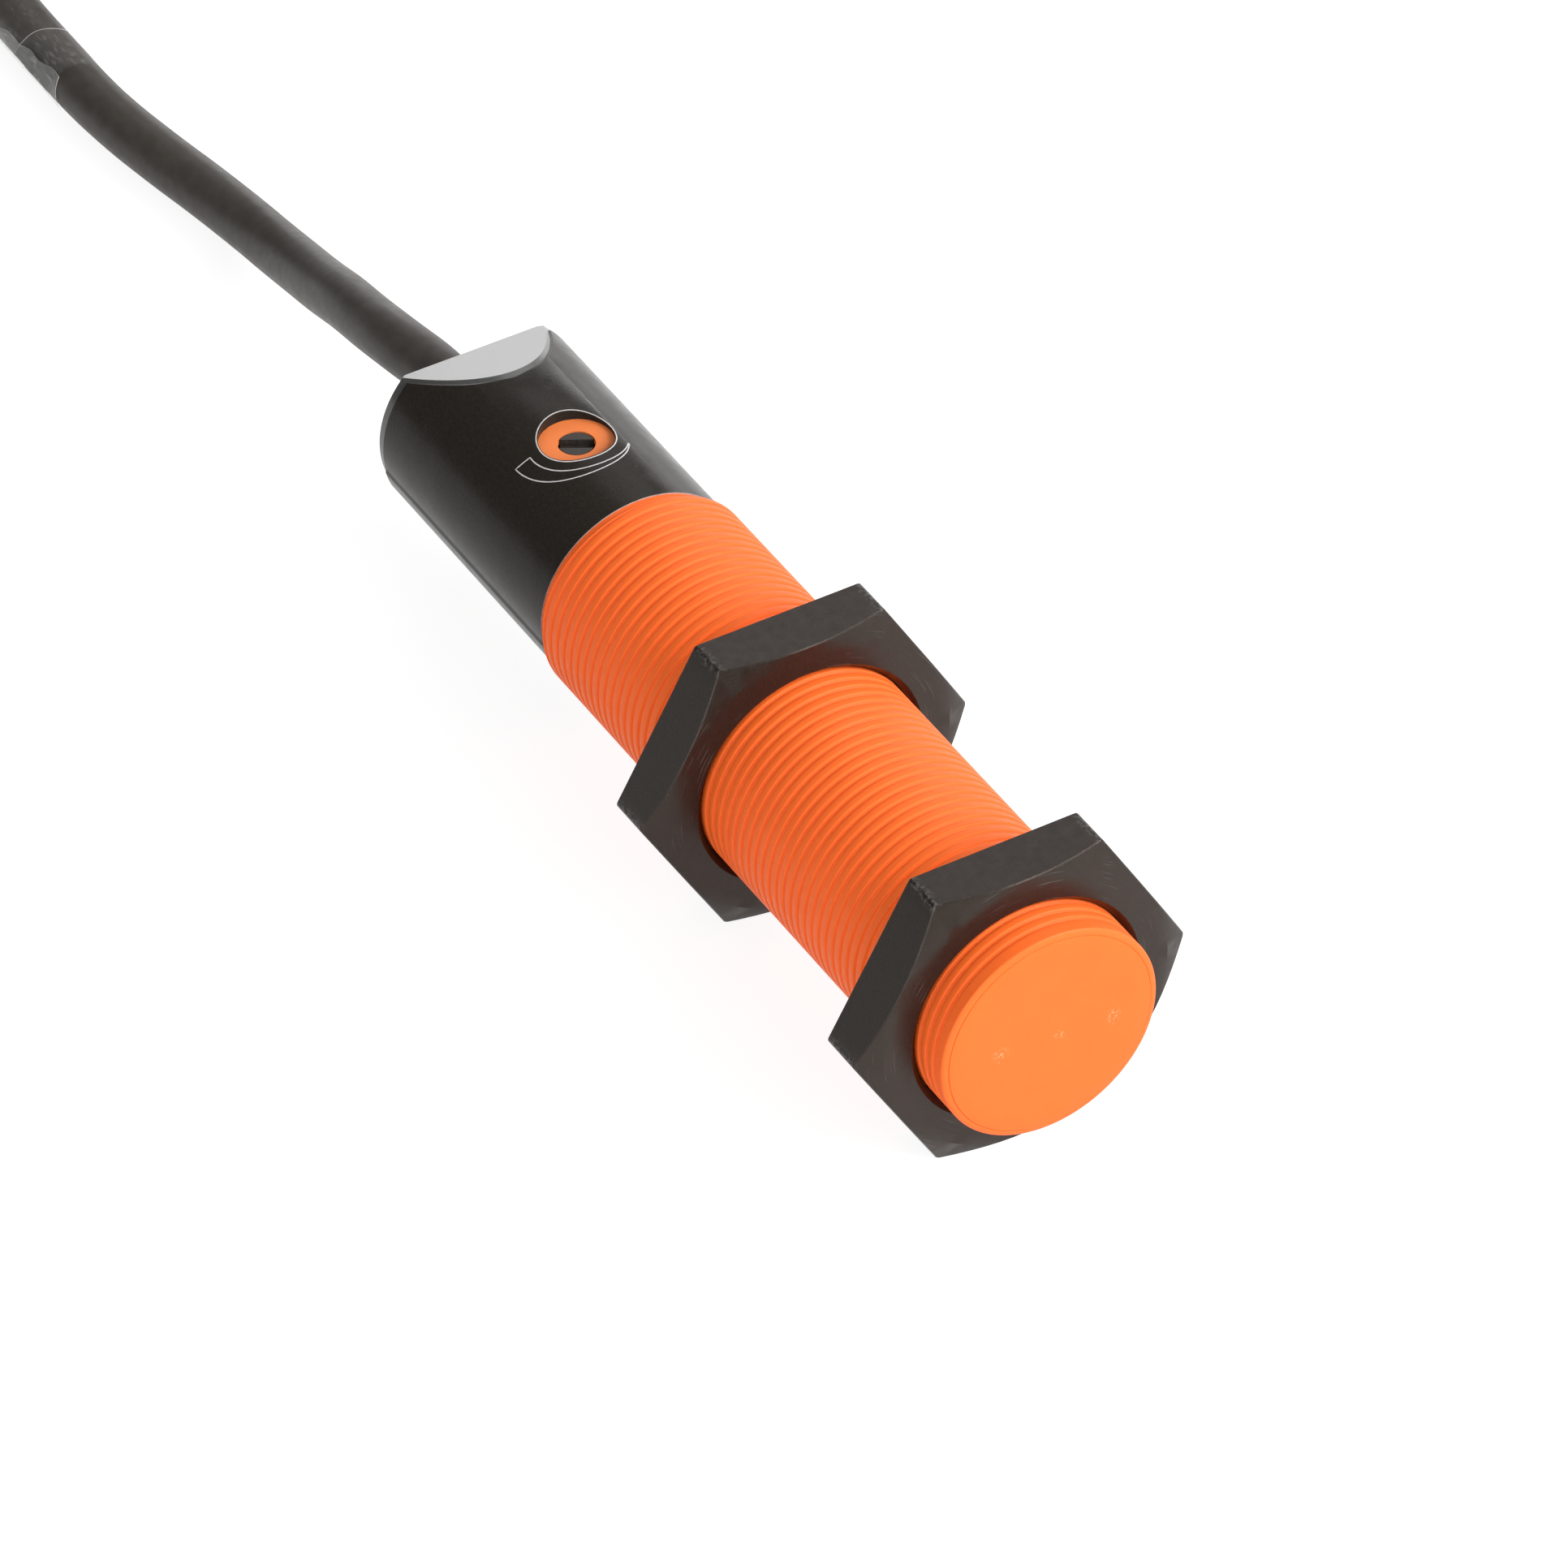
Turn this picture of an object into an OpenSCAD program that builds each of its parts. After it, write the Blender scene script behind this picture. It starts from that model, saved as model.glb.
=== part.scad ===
// Cylindrical capacitive proximity sensor: a threaded plastic barrel with two lock nuts,
// a labelled tail with a sensitivity adjuster, and a two-core cable.
// The barrel lies along X with the sensing face towards +X, and the nuts rest on z = 0.

/* [Housing] */
// Overall length, from the sensing face to the cable end
body_l = 84; // [80:0.5:100]
// Crest diameter of the thread
thread_d = 17.9; // [17.4:0.1:20]
// Length of the threaded barrel
thread_l = 58.5; // [54:0.5:60]
// Diameter of the smooth tail under the label
tail_d = 16.7; // [16.2:0.1:17]
// Diameter of the hollow inside
bore_d = 14.4; // [14.2:0.1:15]
// Thickness of the sensing face
face_t = 1.2; // [0.8:0.1:2]
// Chamfer round the sensing face
nose_chamfer = 0.15; // [0.1:0.05:1.2]
// Depth of the run-out groove at the end of the thread
runout_depth = 0.55; // [0.3:0.05:0.6]
// Width of the run-out groove
runout_w = 0.5; // [0.3:0.1:2]

/* [Lock nuts] */
// Width across the flats
nut_af = 24; // [23:0.5:30]
// Thickness of a nut
nut_t = 4.5; // [3:0.5:6]
// Angle of the chamfer on the corners
nut_chamfer_angle = 28; // [15:1:35]
// Radial clearance between a nut and the crests of the thread
nut_clearance = 0.1; // [0.05:0.05:0.3]
// Size of the countersink at each end of a nut's bore
nut_countersink = 0.45; // [0.2:0.05:0.8]
// Distance from the sensing face to the front nut
front_nut_set = 3.3; // [1:0.1:8]
// Distance from the sensing face to the rear nut
rear_nut_set = 33.5; // [20:0.5:45]

/* [End cap] */
// Length of the end cap outside the housing
cap_l = 9; // [8.5:0.5:11]
// Gap between the spigot and the trimmer
spigot_gap = 0.3; // [0.2:0.1:1]
// Radial clearance of the spigot in the housing
spigot_clearance = 0.05; // [0.02:0.01:0.1]
// Wall of the spigot
spigot_wall = 1.6; // [1:0.1:2]
// Thickness of the cap's end wall
cap_floor = 4.5; // [3:0.5:5]
// Length of the slanted flat, along the barrel
flat_l = 7; // [5:0.5:8]
// Depth of the slanted flat at the cable end
flat_depth = 2.8; // [1.5:0.05:3]
// Chamfer round the cable end
cap_chamfer = 0.35; // [0.1:0.05:0.6]

/* [Label] */
// Thickness of the film
label_t = 0.15; // [0.1:0.05:0.2]
// Gap between the film and the tail
label_gap = 0.02; // [0.01:0.01:0.05]
// Bare edge between the film and the cable end
label_margin = 1.25; // [0.5:0.25:3]
// Drop of the film's edge below the slanted flat
label_flat_margin = 0.2; // [0.1:0.05:0.4]
// Diameter of the window, and of the seat in the tail under it
window_d = 6; // [4.5:0.1:6.5]

/* [Adjuster] */
// Distance from the cable end to the adjuster
port_from_end = 16.3; // [16:0.1:18.5]
// Depth of the flat seat round the port, below the tail's top
seat_depth = 0.7; // [0.5:0.05:0.8]
// Radial clearance of the rotor in the port
port_clearance = 0.1; // [0.05:0.05:0.2]
// Width of the trimmer's body
trimmer_w = 6.4; // [5.8:0.1:6.6]
// Depth of the rotor's top below the seat
rotor_sink = 0.05; // [0.05:0.05:0.4]
// Diameter of the slotted rotor
rotor_d = 2.7; // [2.4:0.1:3]
// Height of the rotor above the trimmer's body
rotor_rise = 2; // [1.5:0.1:2.4]
// Depth of the rotor inside the trimmer's body
rotor_depth = 2.5; // [1.5:0.1:3]
// Radial clearance of the rotor
rotor_clearance = 0.05; // [0.02:0.01:0.1]
// Width of the screwdriver slot
slot_w = 1; // [0.4:0.1:1.2]
// Depth of the screwdriver slot
slot_depth = 0.6; // [0.3:0.1:0.8]
// Direction of the slot at rest
slot_angle = 60; // [0:5:90]
// Width of the seal ring's wall
seal_wall = 1; // [0.6:0.1:1.2]
// Gap between the rotor and the seal ring
seal_gap = 0.4; // [0.2:0.1:0.5]

/* [Board and electrodes] */
// Gap between the board's edges and the shield sleeve
board_gap = 0.15; // [0.1:0.05:1]
// Thickness of the circuit board
board_t = 1; // [0.8:0.1:1.2]
// Gap between the guard ring and the edge of the carrier
guard_edge = 0.3; // [0.1:0.1:0.8]
// Gap between the electrode and the guard ring
guard_gap = 0.8; // [0.4:0.1:1]
// Width of the guard ring
guard_w = 1.4; // [0.8:0.1:1.4]
// Thickness of the electrode and the guard ring
electrode_t = 0.2; // [0.1:0.05:0.4]
// Thickness of the electrode carrier
carrier_t = 1.6; // [1:0.1:2.4]
// Diameter of the electrode pin
pin_d = 1; // [0.6:0.1:1.2]
// Length of the electrode pin on the board
pin_l = 6; // [3:0.5:8]
// Length of the shield sleeve
shield_l = 15; // [10:0.5:15]
// Wall of the shield sleeve
shield_wall = 0.3; // [0.2:0.05:0.3]
// Clearance between the inner pieces and the housing
inner_clearance = 0.1; // [0.05:0.01:0.15]
// Clearance between the resin and what it is cast round
resin_clearance = 0.05; // [0.02:0.01:0.1]

/* [Cable] */
// Diameter of the cable
cable_d = 4.5; // [4:0.1:5]
// Diameter of one insulated core
core_d = 1.6; // [1.2:0.1:1.7]
// Radial clearance of the cable in what it passes through
cable_clearance = 0.05; // [0.03:0.01:0.1]
// Length of the rubber seal round the cable
cable_seal_l = 2.5; // [2:0.5:3]
// Length of the crimp ring
crimp_l = 2.5; // [1.5:0.5:3]
// Wall of the crimp ring
crimp_wall = 1.3; // [0.8:0.1:1.5]
// Length of the tape round the cable
tape_l = 10; // [6:1:12]
// Thickness of the tape, with its laps
tape_t = 0.15; // [0.1:0.05:0.2]

/* [Hank] */
// Length of the hank's straight runs
hank_run = 84; // [68:1:90]
// Radius of the innermost fold
fold_r = 13.5; // [13.5:0.1:15]
// Step from one loop to the next
loop_step = 5.35; // [5.3:0.05:6]
// Step from one layer to the next
layer_step = 4.95; // [4.95:0.05:5.5]
// How far each run is drawn in at the waist
waist_draw = 10; // [6:0.5:11]
// Width of the tie
tie_w = 8; // [3:0.5:12]
// Thickness of the tie
tie_t = 0.6; // [0.4:0.1:1.2]
// Gap between the tie and the hank
tie_gap = 0.3; // [0.2:0.05:0.5]
// Length of the stripped cores at the far end
strip_l = 40; // [20:1:45]
// Length of a ferrule
ferrule_l = 8; // [4:1:8]

/* [Hidden] */
$fn = 96;

// Overshoot of a cut past the surface that it opens
over = 1;

// Stations along the barrel
face_x = body_l / 2;
end_x = -body_l / 2;
joint_x = end_x + cap_l;
port_x = end_x + port_from_end;
// The thread ends ahead of the label's window, also on a short body
window_margin = 1;
tail_x = max(face_x - thread_l, port_x + window_d / 2 + window_margin);
spigot_x = port_x - trimmer_w / 2 - spigot_gap;
inner_face_x = face_x - face_t;
carrier_x = inner_face_x - electrode_t - carrier_t;
shield_x = carrier_x - inner_clearance - shield_l;
board_front_x = carrier_x - inner_clearance;
board_rear_x = spigot_x + inner_clearance;

// Radii
axis_z = nut_af / 2;
bore_r = bore_d / 2;
// A wide hollow pushes the outside out, so that the walls keep their strength
least_wall = 1;
least_step = 0.4;
tail_r = max(tail_d / 2, bore_r + least_wall);
crest_r = max(thread_d / 2, tail_r + least_step);
inner_r = bore_r - inner_clearance;
label_in_r = tail_r + label_gap;
label_r = label_in_r + label_t;
cable_r = cable_d / 2;
core_r = core_d / 2;
cable_hole_r = cable_r + cable_clearance;
pocket_r = bore_r - spigot_clearance - spigot_wall;
shield_in_r = inner_r - shield_wall;

// Heights above the axis: the cores lie under the board, the trimmer stands on it
board_top = -core_r;
board_bottom = board_top - board_t;
board_half = sqrt(pow(shield_in_r, 2) - pow(board_bottom, 2)) - board_gap;
seat_z = tail_r - seat_depth;
rotor_top = seat_z - rotor_sink;
trimmer_top = rotor_top - rotor_rise;
trimmer_h = trimmer_top - board_top;

// Puts a shape drawn along Z on the barrel's axis, starting at x
module along(x) {
    translate([x, 0, axis_z]) rotate([0, 90, 0]) children();
}

module rod(x0, x1, r) {
    along(x0) cylinder(h = x1 - x0, r = r);
}

module ring(x0, x1, r_out, r_in) {
    along(x0) difference() {
        cylinder(h = x1 - x0, r = r_out);
        translate([0, 0, -over]) cylinder(h = x1 - x0 + 2 * over, r = r_in);
    }
}

// Block on the board's top, centred on x and y
module on_board(x, y, l, w, h, grow = 0) {
    translate([x - l / 2 - grow, y - w / 2 - grow, axis_z + board_top - (grow > 0 ? over : 0)])
        cube([l + 2 * grow, w + 2 * grow, h + grow + (grow > 0 ? over : 0)]);
}

// Space above the slanted flat, lowered by drop
module above_flat(drop = 0) {
    slant = atan2(flat_depth, flat_l);
    reach = 2 * tail_d;
    translate([end_x, 0, axis_z + tail_r - flat_depth - drop])
        rotate([0, -slant, 0])
            translate([-reach, -reach, 0]) cube([2 * reach, 2 * reach, reach]);
}

// Housing

module threaded_housing() {
    color("darkorange") difference() {
        along(joint_x) rotate_extrude() polygon([
            [0, 0],
            [tail_r, 0],
            [tail_r, tail_x - joint_x],
            [crest_r - runout_depth, tail_x - joint_x],
            [crest_r - runout_depth, tail_x - joint_x + runout_w],
            [crest_r, tail_x - joint_x + runout_w + runout_depth],
            [crest_r, face_x - joint_x - nose_chamfer],
            [crest_r - nose_chamfer, face_x - joint_x],
            [0, face_x - joint_x],
        ]);
        rod(joint_x - over, inner_face_x, bore_r);
        translate([port_x, 0, axis_z]) cylinder(h = tail_d, d = rotor_d + 2 * port_clearance);
        translate([port_x, 0, axis_z + seat_z]) cylinder(h = tail_d, d = window_d);
    }
}

module end_cap() {
    color("#26231f") difference() {
        along(end_x) rotate_extrude() polygon([
            [cable_hole_r, 0],
            [tail_r - cap_chamfer, 0],
            [tail_r, cap_chamfer],
            [tail_r, cap_l],
            [bore_r - spigot_clearance, cap_l],
            [bore_r - spigot_clearance, spigot_x - end_x],
            [pocket_r, spigot_x - end_x],
            [pocket_r, cap_floor],
            [cable_hole_r, cap_floor],
        ]);
        above_flat();
    }
}

module label_sleeve() {
    color("#2b2723") difference() {
        ring(end_x + label_margin, tail_x, label_r, label_in_r);
        above_flat(label_flat_margin);
        translate([port_x, 0, axis_z]) cylinder(h = tail_d, d = window_d);
    }
}

// Lock nuts

// Hexagon that lies on a flat, chamfered on its front corners, with a countersunk clear bore
module nut(front_x) {
    corner_r = nut_af / sqrt(3);
    flat_r = nut_af / 2;
    clear_r = crest_r + nut_clearance;
    chamfer_h = (corner_r - flat_r) * tan(nut_chamfer_angle);
    color("#37332e") along(front_x - nut_t) difference() {
        intersection() {
            rotate([0, 0, 90]) cylinder(h = nut_t, r = corner_r, $fn = 6);
            rotate_extrude() polygon([
                [0, 0],
                [corner_r + over, 0],
                [corner_r + over, nut_t - chamfer_h - over * tan(nut_chamfer_angle)],
                [flat_r, nut_t],
                [0, nut_t],
            ]);
        }
        rotate_extrude() polygon([
            [0, -over],
            [clear_r + nut_countersink + over, -over],
            [clear_r, nut_countersink],
            [clear_r, nut_t - nut_countersink],
            [clear_r + nut_countersink + over, nut_t + over],
            [0, nut_t + over],
        ]);
    }
}

module front_nut() {
    nut(face_x - front_nut_set);
}

module rear_nut() {
    nut(face_x - rear_nut_set);
}

// Adjuster

module trimmer_body() {
    color("royalblue") difference() {
        on_board(port_x, 0, trimmer_w, trimmer_w, trimmer_h);
        translate([port_x, 0, axis_z + trimmer_top - rotor_depth])
            cylinder(h = trimmer_h, d = rotor_d + 2 * rotor_clearance);
    }
}

module trimmer_rotor() {
    rotor_h = rotor_depth - rotor_clearance + rotor_rise;
    color("#3a352f")
        translate([port_x, 0, axis_z + rotor_top - rotor_h]) difference() {
            cylinder(h = rotor_h, d = rotor_d);
            rotate([0, 0, slot_angle])
                translate([-rotor_d, -slot_w / 2, rotor_h - slot_depth])
                    cube([2 * rotor_d, slot_w, slot_depth + over]);
        }
}

seal_in_r = rotor_d / 2 + seal_gap;
seal_r = seal_in_r + seal_wall;

// Ring on the trimmer that fits the curve of the housing's wall
module trimmer_seal() {
    color("gray") intersection() {
        translate([port_x, 0, axis_z + trimmer_top]) difference() {
            cylinder(h = bore_d, r = seal_r);
            translate([0, 0, -over]) cylinder(h = bore_d + 2 * over, r = seal_in_r);
        }
        rod(port_x - 2 * seal_r, port_x + 2 * seal_r, inner_r);
    }
}

// Electrodes at the sensing face

pin_z = board_top + pin_d / 2 + inner_clearance;

module electrode_carrier() {
    color("ivory") difference() {
        rod(carrier_x, carrier_x + carrier_t, inner_r);
        translate([0, 0, pin_z])
            rod(carrier_x - over, inner_face_x, pin_d / 2 + inner_clearance);
    }
}

guard_r = inner_r - guard_edge;
guard_in_r = guard_r - guard_w;

module sensing_electrode() {
    color("goldenrod") rod(carrier_x + carrier_t, inner_face_x, guard_in_r - guard_gap);
}

module guard_ring() {
    color("goldenrod") ring(carrier_x + carrier_t, inner_face_x, guard_r, guard_in_r);
}

module electrode_pin() {
    color("gold") translate([0, 0, pin_z]) rod(carrier_x - pin_l, carrier_x + carrier_t, pin_d / 2);
}

module shield_sleeve() {
    color("silver") ring(shield_x, shield_x + shield_l, inner_r, shield_in_r);
}

// Board and what it carries, spaced evenly from the pin to the trimmer: [length, width, height]

CHIP = 0;
CAPACITOR = 2;
TRANSISTOR = 4;
BRIDGE = 6;
ABSORBER = 7;
resistor = [2, 1.25, 0.55];
absorber_d = 7;
absorber_lift = 0.2;
absorber = [absorber_d, 3.4, absorber_d + absorber_lift];
parts = [
    [5, 4, 1.5], resistor, [7.2, 4.6, 5.8], resistor, [6.5, 6.1, 2.3], resistor, [4.8, 4, 1.6], absorber,
];
resistor_rows = [1, 3, 5];
resistor_y = 3.4;

// Legs of the packages: width, length outside the body, thickness
leg = [0.4, 0.8, 0.25];

function total(v) = v * [for (x = v) 1];
lengths = [for (p = parts) p[0]];
parts_front = carrier_x - pin_l;
parts_rear = port_x + trimmer_w / 2;
parts_gap = (parts_front - parts_rear - total(lengths)) / (len(parts) + 1);
function part_x(i) = parts_front - (i + 1) * parts_gap - lengths[i] / 2
    - (i == 0 ? 0 : total([for (k = [0 : i - 1]) lengths[k]]));

module package(i, legs) {
    p = parts[i];
    pitch = p[0] / legs;
    color("#222222") on_board(part_x(i), 0, p[0], p[1], p[2]);
    color("silver") for (k = [0 : legs - 1], side = [-1, 1]) {
        x = part_x(i) + (k - (legs - 1) / 2) * pitch;
        y = side * (p[1] + leg[1]) / 2;
        on_board(x, y, leg[0], leg[1], leg[2]);
    }
}

module circuit_board() {
    color("seagreen")
        translate([board_rear_x, -board_half, axis_z + board_bottom])
            cube([board_front_x - board_rear_x, 2 * board_half, board_t]);
}

module oscillator_chip() {
    package(CHIP, 4);
}

module output_transistor() {
    package(TRANSISTOR, 3);
}

module rectifier_bridge() {
    package(BRIDGE, 2);
}

module filter_capacitor() {
    size = parts[CAPACITOR];
    color("firebrick") on_board(part_x(CAPACITOR), 0, size[0], size[1], size[2]);
}

// Disc that stands on a foot on the board
module surge_absorber() {
    disc_r = absorber_d / 2;
    disc_t = absorber[1];
    color("steelblue") translate([part_x(ABSORBER), disc_t / 2, axis_z + board_top]) {
        translate([0, 0, absorber_lift + disc_r]) rotate([90, 0, 0]) cylinder(h = disc_t, r = disc_r);
        translate([-disc_r / 2, -disc_t, 0]) cube([disc_r, disc_t, disc_r]);
    }
}

module chip_resistors() {
    color("#333333") for (i = resistor_rows, side = [-1, 1])
        on_board(part_x(i), side * resistor_y, resistor[0], resistor[1], resistor[2]);
}

// Resin from the end of the board to the carrier, cast round everything on the board
module potting_fill() {
    grow = resin_clearance;
    color([0.15, 0.15, 0.17]) difference() {
        union() {
            rod(board_rear_x, shield_x - inner_clearance, inner_r - grow);
            rod(shield_x - 2 * inner_clearance, board_front_x, shield_in_r - grow);
        }
        translate([board_rear_x - over, -board_half - grow, axis_z + board_bottom - grow])
            cube([board_front_x - board_rear_x + 2 * over, 2 * (board_half + grow), board_t + 2 * grow]);
        for (i = [CHIP, TRANSISTOR, BRIDGE])
            on_board(part_x(i), 0, parts[i][0], parts[i][1] + 2 * leg[1], parts[i][2], grow);
        for (i = [CAPACITOR, ABSORBER])
            on_board(part_x(i), 0, parts[i][0], parts[i][1], parts[i][2], grow);
        for (i = resistor_rows, side = [-1, 1])
            on_board(part_x(i), side * resistor_y, resistor[0], resistor[1], resistor[2], grow);
        on_board(port_x, 0, trimmer_w, trimmer_w, trimmer_h, grow);
        translate([port_x, 0, axis_z]) cylinder(h = bore_d, r = seal_r + grow);
        translate([0, 0, pin_z])
            rod(carrier_x - pin_l - inner_clearance, face_x, pin_d / 2 + inner_clearance);
        translate([board_rear_x - over, -lead_y - core_d, axis_z + lead_z - core_r - inner_clearance])
            cube([lead_l + 2 * over, 2 * (lead_y + core_d), core_d + 2 * inner_clearance]);
    }
}

// Cable entry

seal_x = end_x + cap_floor;
crimp_x = seal_x + cable_seal_l;
jacket_x = crimp_x + crimp_l;

module cable_seal() {
    color("dimgray") ring(seal_x, crimp_x, pocket_r - cable_clearance, cable_hole_r);
}

module crimp_ring() {
    color("darkgoldenrod") ring(crimp_x, jacket_x, cable_hole_r + crimp_wall, cable_hole_r);
}

// Swept tubes

function unit(v) = v / norm(v);
function heading(p, i) = unit(p[min(i + 1, len(p) - 1)] - p[max(i - 1, 0)]);

// Ring of points round one place of a path, square to its heading
function around(c, t, r, sides) =
    let (side = unit(cross(t, [0, 0, 1])), up = cross(side, t))
    [for (k = [0 : sides - 1]) c + r * (cos(360 * k / sides) * side + sin(360 * k / sides) * up)];

module tube(path, r, sides) {
    rings = len(path);
    points = [for (i = [0 : rings - 1]) each around(path[i], heading(path, i), r, sides)];
    walls = [for (i = [0 : rings - 2], k = [0 : sides - 1])
        let (a = i * sides + k, b = i * sides + (k + 1) % sides)
        each [[a, b, b + sides], [a, b + sides, a + sides]]];
    last = (rings - 1) * sides;
    ends = [for (k = [1 : sides - 2]) each [[0, k + 1, k], [last, last + k, last + k + 1]]];
    polyhedron(points = points, faces = concat(walls, ends));
}

function path_length(p) = total([for (i = [1 : len(p) - 1]) norm(p[i] - p[i - 1])]);

// Leads inside the cap: from the end of the jacket down to the underside of the board
lead_y = core_r + inner_clearance;
lead_l = 7;
lead_z = board_bottom - core_r - inner_clearance;
lead_bend = board_rear_x - jacket_x;
// Places along the bend, as shares of its length and of its drop
lead_shares = [[0, 0], [0.2, 0], [0.5, 0.5], [0.8, 1]];
core_sides = 8;

module lead(side) {
    y = side * lead_y;
    bend = [for (s = lead_shares) [jacket_x + s[0] * lead_bend, y, axis_z + s[1] * lead_z]];
    tube(concat(bend, [[board_rear_x + lead_l, y, axis_z + lead_z]]), core_r, core_sides);
}

module brown_lead() {
    color("saddlebrown") lead(-1);
}

module blue_lead() {
    color("mediumblue") lead(1);
}

// Free cable: places from the cable end, [x, y, share of the axis height above the table]
lay_z = cable_hole_r + tape_t;
cable_route = [
    [0, 0, 1], [-5, -0.2, 1], [-10, -0.7, 0.96], [-15, -0.6, 0.84], [-20, -0.1, 0.68], [-25, 0.5, 0.48],
    [-30, 1.1, 0.3], [-35, 1.5, 0.15], [-40, 1.6, 0.05], [-46, 1.1, 0], [-52, 0.1, 0], [-58, -0.7, 0],
    [-63, -1, 0], [-67, -1, 0], [-72, -1, 0], [-77, -1, 0],
];
// Side step from the route's last place to the hank's first run: places as shares of its length and width
side_step = [[0.2, 0.06], [0.35, 0.24], [0.5, 0.5], [0.65, 0.76], [0.8, 0.94], [1, 1]];

// Hank: turns are counted from the first run, and a quarter turn is one run or one fold
turns_in = 2.125;
turns_out = 1.5;
layers = 4;
turns = turns_in + (layers - 1) * turns_out;
turn_rings = 24;
reversals = [for (k = [0 : layers - 2]) turns_in + k * turns_out];
hank_from_end = 110;
hank_x = end_x - hank_from_end;
hank_y = 13;
hank_z = tie_t + tie_gap + cable_r;

// The loops close in, open out, close in and open out again
function loop_r(u) = fold_r + loop_step * (u < reversals[0] ? reversals[0] - u
    : u < reversals[1] ? u - reversals[0]
    : u < reversals[2] ? reversals[2] - u
    : u - reversals[2]);
function ease(t) = t <= 0 ? 0 : t >= 1 ? 1 : t * t * (3 - 2 * t);
// It climbs a layer at each reversal, along one run
climb_turns = 0.25;
function climbed(u) = total([for (at = reversals) ease((u - at) / climb_turns + 0.5)]);
function drawn(t) = waist_draw * (1 - cos(360 * t)) / 2;
function hank_point(u) =
    let (r = loop_r(u), quarter = floor(4 * (u - floor(u))), t = 4 * (u - floor(u)) - quarter,
        flat = quarter == 0 ? [-hank_run * t, -r + drawn(t)]
            : quarter == 1 ? [-hank_run - r * sin(180 * t), -r * cos(180 * t)]
            : quarter == 2 ? [-hank_run * (1 - t), r - drawn(t)]
            : [r * sin(180 * t), r * cos(180 * t)])
    [hank_x + flat[0], hank_y + flat[1], hank_z + layer_step * climbed(u)];

// Place on the straight stretches between the rings
function hank_place(u) =
    let (i = floor(u * turn_rings), part = u * turn_rings - i)
    (1 - part) * hank_point(i / turn_rings) + part * hank_point((i + 1) / turn_rings);

// The jacket ends just past the tie, on the last run, and the stripped cores go on along it
jacket_past_tie = 4;
function turns_past(l) = turns + (tie_w / 2 + jacket_past_tie + l) / (4 * hank_run);

hank_wound = [for (i = [0 : turns * turn_rings]) hank_point(i / turn_rings)];
hank_start = hank_wound[0] + [cable_d, 0, 0];
hank_path = concat([hank_start], hank_wound, [hank_place(turns_past(0))]);

run_sides = 10;
hank_sides = 6;
laid = [for (p = cable_route) [end_x + p[0], p[1], lay_z + p[2] * (axis_z - lay_z)]];
lead_in = hank_start - laid[len(laid) - 1];
run_path = concat([[jacket_x, 0, axis_z]], laid,
    [for (s = side_step) laid[len(laid) - 1] + [s[0] * lead_in[0], s[1] * lead_in[1], s[1] * lead_in[2]]]);

// Distance from a point to a stretch of the path, and the least gap between far stretches
function to_stretch(p, a, b) = let (t = (p - a) * (b - a) / ((b - a) * (b - a)))
    norm(p - a - max(0, min(1, t)) * (b - a));
function least_gap(path, skip) = min([for (i = [0 : len(path) - 1], j = [0 : len(path) - 2])
    if (abs(i - j) > skip) to_stretch(path[i], path[j], path[j + 1])]) - cable_d;
// Stretches next to each other on the path, and those where the run goes into the hank, meet
near_stretches = 5;
meeting_stretches = 3;
function gap_to_run() = min([for (p = hank_path, j = [0 : len(run_path) - 1 - meeting_stretches])
    to_stretch(p, run_path[j], run_path[j + 1])]) - cable_d;
union() {  // cable_hank
    echo(hank_gap = least_gap(hank_path, near_stretches), gap_to_run = gap_to_run());
    echo(hank_length = path_length(hank_path), run_length = path_length(run_path));
}

module cable_run() {
    color("#1f1d1b") tube(run_path, cable_r, run_sides);
}

// Band of clear tape on a straight stretch of the cable
tape_stretch = [12, 15];

module tape_wrap() {
    middle = (laid[tape_stretch[0]] + laid[tape_stretch[1]]) / 2;
    color([0.8, 0.8, 0.75, 0.4]) translate([0, middle[1], middle[2] - axis_z])
        ring(middle[0] - tape_l / 2, middle[0] + tape_l / 2, cable_hole_r + tape_t, cable_hole_r);
}

module cable_hank() {
    color("#1f1d1b") tube(hank_path, cable_r, hank_sides);
}

module rounded_rectangle(w, h, r) {
    square([w - 2 * r, h], center = true);
    square([w, h - 2 * r], center = true);
    for (x = [-1, 1], y = [-1, 1]) translate([x * (w / 2 - r), y * (h / 2 - r)]) circle(r);
}

// Strap round the hank's waist, which is in the middle of each run: it clears the runs at its own edges
first_waist = 1 / 8;
second_waist = 5 / 8;
tie_half_turns = tie_w / 2 / (4 * hank_run);
waist_low = hank_place(first_waist - tie_half_turns)[1] - cable_r;
waist_high = hank_place(second_waist - tie_half_turns)[1] + cable_r;
hank_top = hank_z + (layers - 1) * layer_step + cable_r;

module hank_tie() {
    inner_w = waist_high - waist_low + 2 * tie_gap;
    inner_h = hank_top - tie_t + tie_gap;
    color("black")
        translate([hank_x - hank_run / 2 - tie_w / 2, (waist_high + waist_low) / 2, tie_t + inner_h / 2])
            rotate([90, 0, 90]) linear_extrude(tie_w) difference() {
                rounded_rectangle(inner_w + 2 * tie_t, inner_h + 2 * tie_t, cable_r + tie_t);
                rounded_rectangle(inner_w, inner_h, cable_r);
            }
}

// Stripped cores at the far end, side by side along the last run
core_steps = 4;
look_ahead = 0.3;
function core_point(l, side) =
    let (p = hank_place(turns_past(l)), ahead = unit(hank_place(turns_past(l + look_ahead)) - p))
    p + side * lead_y * unit(cross(ahead, [0, 0, 1]));
function core_path(from, to, side) =
    [for (k = [0 : core_steps]) core_point(from + (to - from) * k / core_steps, side)];

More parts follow.
